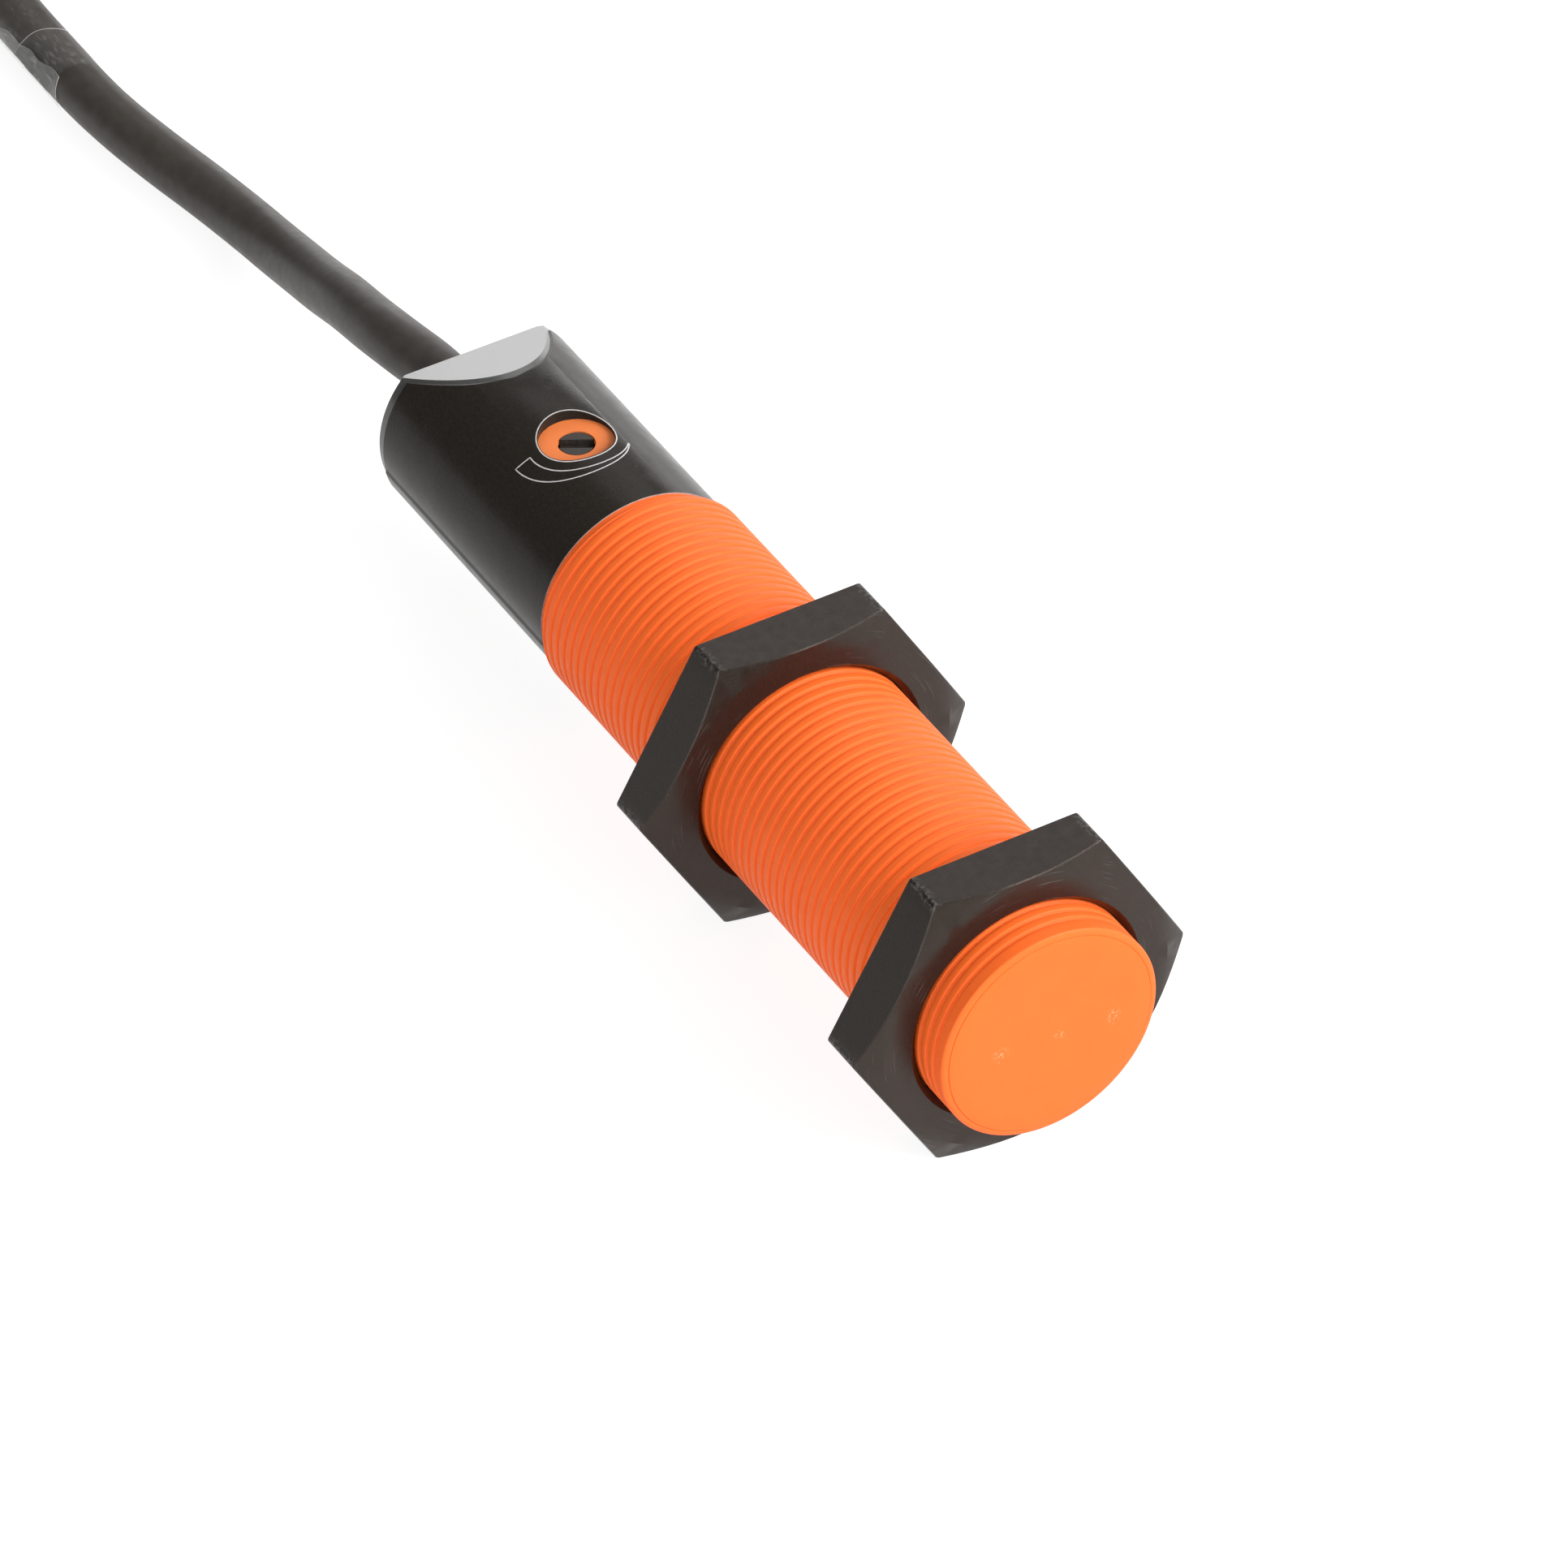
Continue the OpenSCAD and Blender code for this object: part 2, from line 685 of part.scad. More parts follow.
module brown_core() {
    color("saddlebrown") tube(core_path(0, strip_l, -1), core_r, core_sides);
}

module blue_core() {
    color("mediumblue") tube(core_path(0, strip_l, 1), core_r, core_sides);
}

module core_ferrules() {
    color("silver") for (side = [-1, 1])
        tube(core_path(strip_l, strip_l + ferrule_l, side), core_r / 2, core_sides);
}

threaded_housing();
end_cap();
label_sleeve();
front_nut();
rear_nut();
trimmer_body();
trimmer_rotor();
trimmer_seal();
electrode_carrier();
sensing_electrode();
guard_ring();
electrode_pin();
shield_sleeve();
circuit_board();
oscillator_chip();
output_transistor();
rectifier_bridge();
filter_capacitor();
surge_absorber();
chip_resistors();
potting_fill();
cable_seal();
crimp_ring();
brown_lead();
blue_lead();
cable_run();
tape_wrap();
cable_hank();
hank_tie();
brown_core();
blue_core();
core_ferrules();
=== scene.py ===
"""Looks of a cylindrical proximity sensor: threaded barrel, two lock nuts, wrapped label and tied cable."""
import math

import bmesh
import bpy
from mathutils import Matrix, Vector


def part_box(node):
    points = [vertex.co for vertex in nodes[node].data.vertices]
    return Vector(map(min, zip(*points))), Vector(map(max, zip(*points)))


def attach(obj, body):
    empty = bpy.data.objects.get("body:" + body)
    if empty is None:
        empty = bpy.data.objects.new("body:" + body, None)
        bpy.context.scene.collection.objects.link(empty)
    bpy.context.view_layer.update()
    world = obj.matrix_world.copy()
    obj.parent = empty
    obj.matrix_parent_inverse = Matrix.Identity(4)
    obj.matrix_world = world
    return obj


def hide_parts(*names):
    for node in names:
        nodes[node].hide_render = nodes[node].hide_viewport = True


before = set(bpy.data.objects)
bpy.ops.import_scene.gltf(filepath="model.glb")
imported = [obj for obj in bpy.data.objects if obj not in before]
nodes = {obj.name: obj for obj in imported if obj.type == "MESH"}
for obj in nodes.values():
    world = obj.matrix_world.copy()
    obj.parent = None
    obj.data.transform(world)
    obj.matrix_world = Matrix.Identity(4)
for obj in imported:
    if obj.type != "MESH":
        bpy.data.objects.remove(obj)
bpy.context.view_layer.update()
scene = bpy.context.scene
scene.view_settings.view_transform = "Standard"

MM = 0.001
FULL_TURN = 2 * math.pi

# Stations along the barrel, from the frame
housing_low, housing_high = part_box("threaded_housing")
cap_low, cap_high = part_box("end_cap")
label_low, label_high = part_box("label_sleeve")
rotor_low, rotor_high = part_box("trimmer_rotor")
tie_low, tie_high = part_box("hank_tie")
nut_low, nut_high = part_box("front_nut")
axis_z = (nut_low.z + nut_high.z) / 2
flat_r = (nut_high.z - nut_low.z) / 2
face_x = housing_high.x
joint_x = housing_low.x
end_x = cap_low.x
tail_x = label_high.x
port_x = (rotor_low.x + rotor_high.x) / 2

# Radii and depths of the barrel
CREST_R = 8.95 * MM
TAIL_R = 8.35 * MM
BORE_R = 7.2 * MM
FACE_T = 1.2 * MM
NOSE_EDGE_W = 0.5 * MM
NOSE_EDGE_H = 0.22 * MM
NOSE_LINE = 0.06 * MM
NOSE_LAND = 1.0 * MM
RUNOUT_W = 0.5 * MM
RUNOUT_DEPTH = 0.55 * MM
THREAD_PITCH = 1 * MM
THREAD_DEPTH = 0.24 * MM
CABLE_R = 2.25 * MM
CORE_R = 0.8 * MM

# Slanted flat on the rear end
FLAT_L = 7 * MM
FLAT_DEPTH = 2.8 * MM
flat_point = Vector((end_x + FLAT_L, 0, axis_z + TAIL_R))
flat_normal = Vector((-FLAT_DEPTH, 0, FLAT_L)).normalized()

# Adjuster's port: a hole in the middle of a flat seat under the label's window
PORT_R = 1.45 * MM
WINDOW_R = 3 * MM
SEAT_DEPTH = 0.7 * MM
seat_z = axis_z + TAIL_R - SEAT_DEPTH


def around(x, radius, angle):
    """Point on a circle round the barrel's axis, at that angle from the top towards +Y."""
    return Vector((x, radius * math.sin(angle), axis_z + radius * math.cos(angle)))


def angles(count):
    """Even angles round a full turn."""
    return [FULL_TURN * i / count for i in range(count)]


def ease(t):
    """Smooth step from 0 to 1."""
    t = min(1, max(0, t))
    return t * t * (3 - 2 * t)


# Mesh helpers
MERGE = 1e-7
CUT_TOLERANCE = 1e-8
HOLE_SEGMENTS = 96
CURVE_STEPS = 6


def linked(name, data):
    """New object in the scene."""
    made = bpy.data.objects.new(name, data)
    scene.collection.objects.link(made)
    return made


def piece_from_faces(name, points, faces):
    """Closed mesh piece with its doubles merged and its normals outward."""
    mesh = bpy.data.meshes.new(name)
    mesh.from_pydata(points, [], faces)
    made = linked(name, mesh)
    tidy_mesh(made)
    return made


def tidy_mesh(made):
    """Merges points that coincide, drops faces without area and turns the normals outward."""
    shape = bmesh.new()
    shape.from_mesh(made.data)
    bmesh.ops.remove_doubles(shape, verts=shape.verts, dist=MERGE)
    bmesh.ops.dissolve_degenerate(shape, edges=shape.edges, dist=MERGE)
    bmesh.ops.recalc_face_normals(shape, faces=shape.faces)
    shape.to_mesh(made.data)
    shape.free()


def soften(made, sharp_degrees=40):
    """Smooth shading, with edges sharper than that left as edges."""
    shape = bmesh.new()
    shape.from_mesh(made.data)
    limit = math.radians(sharp_degrees)
    for face in shape.faces:
        face.smooth = True
    for edge in shape.edges:
        edge.smooth = edge.calc_face_angle(0) < limit
    shape.to_mesh(made.data)
    shape.free()


def ring_faces(first, second, count):
    """Faces between two closed rows of points, by the index of each row's first point."""
    faces = []
    for j in range(count):
        k = (j + 1) % count
        faces.append((first + j, first + k, second + k, second + j))
    return faces


def piece_from_rows(name, rows):
    """Piece from rows of points that each close on themselves; the last row joins the first."""
    count = len(rows[0])
    points = [point for row in rows for point in row]
    faces = []
    for i in range(len(rows)):
        faces += ring_faces(i * count, (i + 1) % len(rows) * count, count)
    return piece_from_faces(name, points, faces)


def turned_rows(profile, segments):
    """Rows of points round the barrel's axis, one for each (x, radius) of the profile."""
    return [[around(x, radius, angle) for angle in angles(segments)] for x, radius in profile]


def cut_flat(made, point, normal):
    """Cuts the piece off above a plane and closes the cut."""
    shape = bmesh.new()
    shape.from_mesh(made.data)
    geometry = shape.verts[:] + shape.edges[:] + shape.faces[:]
    bmesh.ops.bisect_plane(
        shape, geom=geometry, dist=CUT_TOLERANCE, plane_co=point, plane_no=normal, clear_outer=True,
    )
    rim = [edge for edge in shape.edges if edge.is_boundary]
    bmesh.ops.holes_fill(shape, edges=rim, sides=0)
    bmesh.ops.recalc_face_normals(shape, faces=shape.faces)
    shape.to_mesh(made.data)
    shape.free()


def bore_down(made, x, steps):
    """Cuts a vertical round hole through the piece, by its steps of (height, radius) from the bottom up."""
    points = []
    faces = []
    for i, (z, radius) in enumerate(steps):
        for angle in angles(HOLE_SEGMENTS):
            points.append(Vector((x + radius * math.cos(angle), radius * math.sin(angle), z)))
        if i:
            faces += ring_faces((i - 1) * HOLE_SEGMENTS, i * HOLE_SEGMENTS, HOLE_SEGMENTS)
    faces.append(tuple(range(HOLE_SEGMENTS)))
    faces.append(tuple(range(len(points) - HOLE_SEGMENTS, len(points))))
    cutter = piece_from_faces("cutter", points, faces)
    cut = made.modifiers.new("hole", "BOOLEAN")
    cut.object = cutter
    cut.operation = "DIFFERENCE"
    cut.solver = "EXACT"
    apply_modifiers(made)
    bpy.data.objects.remove(cutter)


def apply_modifiers(made):
    """Puts the modifiers' result into the mesh."""
    bpy.context.view_layer.update()
    shown = made.evaluated_get(bpy.context.evaluated_depsgraph_get())
    mesh = bpy.data.meshes.new_from_object(shown)
    made.modifiers.clear()
    made.data = mesh


def curve_piece(name, paths, radius, sides=6):
    """Round tube along smooth open splines through the points."""
    data = bpy.data.curves.new(name, "CURVE")
    data.dimensions = "3D"
    data.bevel_depth = radius
    data.bevel_resolution = sides
    data.resolution_u = CURVE_STEPS
    data.use_fill_caps = True
    for path in paths:
        spline = data.splines.new("BEZIER")
        spline.bezier_points.add(len(path) - 1)
        for knot, point in zip(spline.bezier_points, path):
            knot.co = point
            knot.handle_left_type = "AUTO"
            knot.handle_right_type = "AUTO"
    return linked(name, data)


# Camera at the photograph's viewing angle
CAMERA_AT = Vector((537.677, -304.081, 528.973)) * MM
CAMERA_AZIMUTH = math.radians(60.3023)
CAMERA_ELEVATION = math.radians(40.3162)
CAMERA_ROLL = math.radians(1.1554)
CAMERA_LENS = 251.406
CAMERA_SENSOR = 36
CAMERA_CLIP = (0.01, 20)


def make_camera():
    """Camera by its place, the way it looks back along, and its roll."""
    level = math.cos(CAMERA_ELEVATION)
    back = Vector((
        math.sin(CAMERA_AZIMUTH) * level,
        -math.cos(CAMERA_AZIMUTH) * level,
        math.sin(CAMERA_ELEVATION),
    ))
    right = Vector((math.cos(CAMERA_AZIMUTH), math.sin(CAMERA_AZIMUTH), 0))
    up = back.cross(right)
    rolled_right = math.cos(CAMERA_ROLL) * right - math.sin(CAMERA_ROLL) * up
    rolled_up = math.sin(CAMERA_ROLL) * right + math.cos(CAMERA_ROLL) * up
    data = bpy.data.cameras.new("camera")
    data.lens = CAMERA_LENS
    data.sensor_width = CAMERA_SENSOR
    data.clip_start, data.clip_end = CAMERA_CLIP
    camera = linked("camera", data)
    turn = Matrix((rolled_right, rolled_up, back)).transposed().to_4x4()
    camera.matrix_world = Matrix.Translation(CAMERA_AT) @ turn
    scene.camera = camera


# Cable: the free stretch's places from the cable end, (x, y, share of the axis height above the table)
CABLE_ROUTE = (
    (0, 0, 1), (-0.005, -0.0002, 1), (-0.010, -0.0007, 0.96), (-0.015, -0.0006, 0.84),
    (-0.020, -0.0001, 0.68), (-0.025, 0.0005, 0.48), (-0.030, 0.0011, 0.3), (-0.035, 0.0015, 0.15),
    (-0.040, 0.0016, 0.05),
    (-0.046, 0.0011, 0), (-0.052, 0.0001, 0), (-0.058, -0.0007, 0), (-0.063, -0.001, 0), (-0.067, -0.001, 0),
    (-0.072, -0.001, 0), (-0.077, -0.001, 0),
)
# Step aside to the hank: (share of the way along, share of the way across)
SIDE_STEP = ((0.2, 0.06), (0.35, 0.24), (0.5, 0.5), (0.65, 0.76), (0.8, 0.94), (1, 1))
CABLE_INSIDE = 9.5 * MM
LAY_Z = 2.45 * MM

# Hank: turns are counted from the first run, and a quarter turn is one run or one fold
HANK_AT = Vector((-0.152, 0.013, 0.00315))
HANK_RUN = 0.084
FOLD_R = 0.0135
LOOP_STEP = 0.00535
LAYER_STEP = 0.00495
WAIST_DRAW = 0.010
REVERSALS = (2.125, 3.625, 5.125)
HANK_TURNS = 6.625
TURN_POINTS = 24
CLIMB_TURNS = 0.25
JACKET_PAST_TIE = 4 * MM
STRIP_L = 40 * MM
STRAND_L = 8 * MM
CORE_SIDE = 0.9 * MM
CORE_ROOT = 1.5 * MM
CORE_POINTS = 5
LOOK_AHEAD = 0.3 * MM
STRAND_ROOT = 1 * MM
STRANDS = 6
STRAND_TURNS = 1.5
STRAND_POINTS = 13


def loop_radius(turn):
    """Half width of the loop at that turn: the loops close in, open out, close in and open out again."""
    first, second, third = REVERSALS
    if turn < second:
        return FOLD_R + LOOP_STEP * abs(turn - first)
    return FOLD_R + LOOP_STEP * abs(turn - third)


def hank_point(turn):
    """Place on the hank at that turn: two runs, drawn in at the waist, and two folds for each turn."""
    radius = loop_radius(turn)
    quarter, t = divmod(4 * (turn - math.floor(turn)), 1)
    drawn = WAIST_DRAW * (1 - math.cos(FULL_TURN * t)) / 2
    across, along = math.cos(math.pi * t), math.sin(math.pi * t)
    flat = (
        (-HANK_RUN * t, -radius + drawn),
        (-HANK_RUN - radius * along, -radius * across),
        (-HANK_RUN * (1 - t), radius - drawn),
        (radius * along, radius * across),
    )[int(quarter)]
    climbed = sum(ease((turn - at) / CLIMB_TURNS + 0.5) for at in REVERSALS)
    return HANK_AT + Vector((flat[0], flat[1], LAYER_STEP * climbed))


def turns_past(length):
    """Turn at that length past the end of the jacket, which lies just past the tie."""
    tie_half = (tie_high.x - tie_low.x) / 2
    return HANK_TURNS + (tie_half + JACKET_PAST_TIE + length) / (4 * HANK_RUN)


def cable_path():
    """Cable's middle line from inside the cap, along the table and round the hank to the jacket's end."""
    laid = [Vector((end_x + x, y, LAY_Z + share * (axis_z - LAY_Z))) for x, y, share in CABLE_ROUTE]
    wound = [hank_point(i / TURN_POINTS) for i in range(int(HANK_TURNS * TURN_POINTS) + 1)]
    start = wound[0] + Vector((2 * CABLE_R, 0, 0))
    step = start - laid[-1]
    lead_in = []
    for along, across in SIDE_STEP:
        lead_in.append(laid[-1] + Vector((along * step.x, across * step.y, across * step.z)))
    inside = Vector((end_x + CABLE_INSIDE, 0, axis_z))
    return [inside] + laid + lead_in + wound + [hank_point(turns_past(0))]


def core_point(length, side):
    """Place on a stripped core, side by side along the last run."""
    here = hank_point(turns_past(length))
    ahead = hank_point(turns_past(length + LOOK_AHEAD)) - here
    return here + side * CORE_SIDE * ahead.cross(Vector((0, 0, 1))).normalized()


def core_path(side):
    """Stripped core's middle line, from inside the jacket to where its strands come out."""
    length = STRIP_L + CORE_ROOT
    return [core_point(-CORE_ROOT + length * i / (CORE_POINTS - 1), side) for i in range(CORE_POINTS)]


def strand_paths(side):
    """Bare strands at the end of a core, twisted round each other."""
    orbit = CORE_R / 3
    paths = []
    for strand in range(STRANDS):
        path = []
        for i in range(STRAND_POINTS):
            share = i / (STRAND_POINTS - 1)
            twist = FULL_TURN * (strand / STRANDS + STRAND_TURNS * share)
            centre = core_point(STRIP_L - STRAND_ROOT + (STRAND_L + STRAND_ROOT) * share, side)
            path.append(centre + Vector((0, orbit * math.cos(twist), orbit * math.sin(twist))))
        paths.append(path)
    return paths


# Material helpers
def material(name, roughness, colour=None, **values):
    """Principled material; the values that are the same all over sit on the shader's own sockets."""
    made = bpy.data.materials.new(name)
    made.use_nodes = True
    shader = made.node_tree.nodes["Principled BSDF"]
    shader.inputs["Roughness"].default_value = roughness
    if colour:
        shader.inputs["Base Color"].default_value = (*colour, 1)
    for socket, value in values.items():
        shader.inputs[socket.replace("_", " ")].default_value = value
    return made


def add_sheen(made, weight, roughness):
    """Pale bloom at grazing angles."""
    shader = made.node_tree.nodes["Principled BSDF"]
    shader.inputs["Sheen Weight"].default_value = weight
    shader.inputs["Sheen Roughness"].default_value = roughness


def add(made, kind, inputs=None, **settings):
    """Adds a node; an input is a value or another node's output."""
    node = made.node_tree.nodes.new(kind)
    for key, value in settings.items():
        setattr(node, key, value)
    for key, value in (inputs or {}).items():
        if isinstance(value, bpy.types.NodeSocket):
            made.node_tree.links.new(value, node.inputs[key])
        else:
            node.inputs[key].default_value = value
    return node


def to_shader(made, socket, output):
    """Joins an output to that socket of the shader."""
    made.node_tree.links.new(output, made.node_tree.nodes["Principled BSDF"].inputs[socket])


def place(made, stretch=(1, 1, 1)):
    """Place on the piece in metres, stretched along the axes."""
    coordinates = add(made, "ShaderNodeTexCoord").outputs["Object"]
    return add(made, "ShaderNodeMapping", {"Vector": coordinates, "Scale": stretch}).outputs["Vector"]


def grain(made, size, detail=3, stretch=(1, 1, 1)):
    """Noise whose lumps are about that size."""
    inputs = {"Vector": place(made, stretch), "Scale": 1 / size, "Detail": detail}
    return add(made, "ShaderNodeTexNoise", inputs).outputs["Fac"]


def ranged(made, value, low, high, to_low=0, to_high=1):
    """The value's range moved to another range and held there."""
    inputs = {"Value": value, "From Min": low, "From Max": high, "To Min": to_low, "To Max": to_high}
    return add(made, "ShaderNodeMapRange", inputs).outputs["Result"]


def between(made, share, first, second):
    """Colour between two colours."""
    mix = add(made, "ShaderNodeMix", data_type="RGBA")
    for index, colour in ((6, first), (7, second)):
        if isinstance(colour, bpy.types.NodeSocket):
            made.node_tree.links.new(colour, mix.inputs[index])
        else:
            mix.inputs[index].default_value = (*colour, 1)
    made.node_tree.links.new(share, mix.inputs[0])
    return mix.outputs[2]


def product(made, first, second):
    """One value times the other."""
    return add(made, "ShaderNodeMath", {0: first, 1: second}, operation="MULTIPLY").outputs[0]


def total(made, first, second):
    """One value and the other, added."""
    return add(made, "ShaderNodeMath", {0: first, 1: second}, operation="ADD").outputs[0]


def raised(made, height, depth):
    """Bump of that depth in metres."""
    bump = add(made, "ShaderNodeBump", {"Height": height, "Distance": depth, "Strength": 1})
    to_shader(made, "Normal", bump.outputs["Normal"])


def from_axis(made):
    """Distance from the barrel's axis, in metres."""
    coordinates = add(made, "ShaderNodeTexCoord").outputs["Object"]
    moved = add(made, "ShaderNodeVectorMath", {0: coordinates, 1: (0, 0, axis_z)}, operation="SUBTRACT")
    across = add(made, "ShaderNodeVectorMath", {0: moved.outputs[0], 1: (0, 1, 1)}, operation="MULTIPLY")
    return add(made, "ShaderNodeVectorMath", {0: across.outputs[0]}, operation="LENGTH").outputs["Value"]


def from_point(made, point):
    """Distance from that point, in metres."""
    coordinates = add(made, "ShaderNodeTexCoord").outputs["Object"]
    away = add(made, "ShaderNodeVectorMath", {0: coordinates, 1: point}, operation="DISTANCE")
    return away.outputs["Value"]


def on_end_face(made):
    """1 on surfaces that look along the barrel, 0 on those round it."""
    normal = add(made, "ShaderNodeNewGeometry").outputs["Normal"]
    along = add(made, "ShaderNodeSeparateXYZ", {"Vector": normal}).outputs["X"]
    size = add(made, "ShaderNodeMath", {0: along}, operation="ABSOLUTE").outputs[0]
    return ranged(made, size, 0.45, 0.8)


def round_scratches(made, pitch):
    """Fine broken rings round the barrel's axis, as a tool or a washer leaves them."""
    coordinates = add(made, "ShaderNodeTexCoord").outputs["Object"]
    moved = add(made, "ShaderNodeVectorMath", {0: coordinates, 1: (0, 0, axis_z)}, operation="SUBTRACT")
    parts = add(made, "ShaderNodeSeparateXYZ", {"Vector": moved.outputs[0]}).outputs
    angle = add(made, "ShaderNodeMath", {0: parts["Y"], 1: parts["Z"]}, operation="ARCTAN2").outputs[0]
    rings = product(made, from_axis(made), 1 / pitch)
    spot = add(made, "ShaderNodeCombineXYZ", {"X": rings, "Y": product(made, angle, 2.2)}).outputs[0]
    return add(made, "ShaderNodeTexNoise", {"Vector": spot, "Scale": 1, "Detail": 3}).outputs["Fac"]


# Materials
# Faint moulding marks on the front face: (y, height above the axis, radius)
FACE_MARKS = (
    (-4.2 * MM, -0.1 * MM, 0.85 * MM),
    (5.3 * MM, -0.7 * MM, 0.85 * MM),
    (0.7 * MM, -0.4 * MM, 0.55 * MM),
)
# Tints of what is reflected straight back
NYLON_TINT = (1, 0.84, 0.75, 1)
FILM_TINT = (0.1, 0.1, 0.1, 1)
WEAVE_PITCH = 0.7 * MM


def orange_plastic():
    """Moulded polyester: fine grain, crumbs at the moulding marks on the front face, and a paler seat."""
    made = material("orange_moulded_plastic", 0.45, IOR=1.5, Specular_IOR_Level=0.18)
    mottle = ranged(made, grain(made, 2.5 * MM), 0.35, 0.65)
    body = between(made, mottle, (0.92, 0.143, 0.0222), (0.94, 0.148, 0.0235))
    seat = ranged(made, from_point(made, (port_x, 0, seat_z)), WINDOW_R, 1.05 * WINDOW_R, 1, 0)
    body = between(made, seat, body, (0.76, 0.200, 0.055))
    spots = 0
    for y, height, mark_r in FACE_MARKS:
        away = from_point(made, (face_x, y, axis_z + height))
        spots = total(made, spots, ranged(made, away, 0.3 * mark_r, mark_r, 1, 0))
    crumbs = product(made, spots, ranged(made, grain(made, 0.28 * MM, 4), 0.50, 0.62))
    to_shader(made, "Base Color", between(made, product(made, crumbs, 0.55), body, (0.93, 0.42, 0.19)))
    to_shader(made, "Roughness", ranged(made, grain(made, 0.5 * MM), 0.3, 0.7, 0.40, 0.52))
    raised(made, total(made, grain(made, 0.16 * MM, 4), product(made, crumbs, 3)), 0.010 * MM)
    return made


def nut_plastic():
    """Glass filled nylon: flecked, with round scratches on the faces and nicked corners."""
    made = material("black_filled_nylon", 0.36, IOR=1.5, Specular_IOR_Level=0.42, Specular_Tint=NYLON_TINT)
    facing = on_end_face(made)
    flecks = ranged(made, grain(made, 0.09 * MM, 2), 0.62, 0.75)
    flats = between(made, flecks, (0.0100, 0.0074, 0.0056), (0.030, 0.025, 0.021))
    faces = between(made, flecks, (0.0135, 0.0098, 0.0076), (0.032, 0.027, 0.023))
    patches = ranged(made, grain(made, 4 * MM, 2), 0.52, 0.62)
    rings = ranged(made, round_scratches(made, 0.12 * MM), 0.60, 0.68)
    scratched = product(made, product(made, rings, patches), product(made, facing, 0.18))
    corner = ranged(made, from_axis(made), flat_r * 1.125, flat_r * 1.155)
    nicked = product(made, corner, ranged(made, grain(made, 0.3 * MM, 4), 0.46, 0.64, 0, 0.32))
    body = between(made, facing, flats, faces)
    marks = total(made, scratched, nicked)
    to_shader(made, "Base Color", between(made, marks, body, (0.27, 0.26, 0.25)))
    to_shader(made, "Roughness", ranged(made, grain(made, 0.8 * MM), 0.3, 0.7, 0.30, 0.42))
    raised(made, grain(made, 0.12 * MM, 4), 0.012 * MM)
    return made


def cap_plastic():
    """Satin moulded cap with a fine spark eroded grain."""
    made = material("black_cap_plastic", 0.22, IOR=1.5)
    add_sheen(made, 0.85, 0.45)
    mottle = ranged(made, grain(made, 0.3 * MM), 0.4, 0.7)
    to_shader(made, "Base Color", between(made, mottle, (0.010, 0.009, 0.008), (0.016, 0.0145, 0.013)))
    to_shader(made, "Roughness", ranged(made, grain(made, 0.4 * MM), 0.3, 0.7, 0.18, 0.26))
    raised(made, grain(made, 0.10 * MM, 3), 0.004 * MM)
    return made


def label_film():
    """Glossy vinyl film, a little uneven where it is stuck down."""
    made = material("black_label_film", 0.24, IOR=1.3, Specular_Tint=FILM_TINT)
    mottle = ranged(made, grain(made, 0.25 * MM, 4), 0.35, 0.7)
    to_shader(made, "Base Color", between(made, mottle, (0.0185, 0.0155, 0.0126), (0.0246, 0.0213, 0.0177)))
    to_shader(made, "Roughness", ranged(made, grain(made, 1.2 * MM), 0.3, 0.7, 0.20, 0.28))
    uneven = total(made, grain(made, 4 * MM, 1), product(made, grain(made, 0.2 * MM, 2), 0.12))
    raised(made, uneven, 0.05 * MM)
    return made


def label_edge():
    """Cut edge of the film, which shows its pale core."""
    made = material("pale_film_edge", 0.55)
    mottle = ranged(made, grain(made, 0.4 * MM), 0.3, 0.7)
    to_shader(made, "Base Color", between(made, mottle, (0.26, 0.245, 0.235), (0.40, 0.38, 0.37)))
    raised(made, grain(made, 0.2 * MM), 0.01 * MM)
    return made


def white_ink():
    """Screen printed ink, slightly broken."""
    made = material("white_label_ink", 0.5)
    mottle = ranged(made, grain(made, 0.3 * MM), 0.3, 0.7)
    to_shader(made, "Base Color", between(made, mottle, (0.50, 0.48, 0.47), (0.66, 0.64, 0.63)))
    raised(made, grain(made, 0.15 * MM), 0.005 * MM)
    return made


def cable_jacket():
    """Soft PVC jacket, drawn lengthwise, with a slight bloom."""
    made = material("black_cable_jacket", 0.42, IOR=1.5, Specular_IOR_Level=0.25)
    add_sheen(made, 0.1, 0.3)
    mottle = ranged(made, grain(made, 1.2 * MM, 4), 0.35, 0.68)
    to_shader(made, "Base Color", between(made, mottle, (0.0425, 0.0370, 0.0318), (0.053, 0.046, 0.040)))
    to_shader(made, "Roughness", ranged(made, grain(made, 0.9 * MM), 0.3, 0.7, 0.38, 0.47))
    raised(made, grain(made, 0.3 * MM, 4), 0.008 * MM)
    return made


def clear_tape(name, thin, thick):
    """Thin clear film with creases, by its opacity where it lies flat and where it is creased."""
    made = material(name, 0.2, (0.62, 0.62, 0.60), IOR=1.48, Alpha=thin)
    creases = ranged(made, grain(made, 0.9 * MM, 4, (1, 2.5, 2.5)), 0.55, 0.75)
    to_shader(made, "Alpha", ranged(made, creases, 0, 1, thin, thick))
    raised(made, grain(made, 1.4 * MM, 3), 0.10 * MM)
    return made


def tape_edge():
    """Edge of the tape, painted pale as a highlight where it gathers the light."""
    made = material("tape_edge_highlight", 0.3, (0.88, 0.88, 0.87))
    to_shader(made, "Alpha", ranged(made, grain(made, 0.5 * MM), 0.3, 0.7, 0.70, 1))
    return made


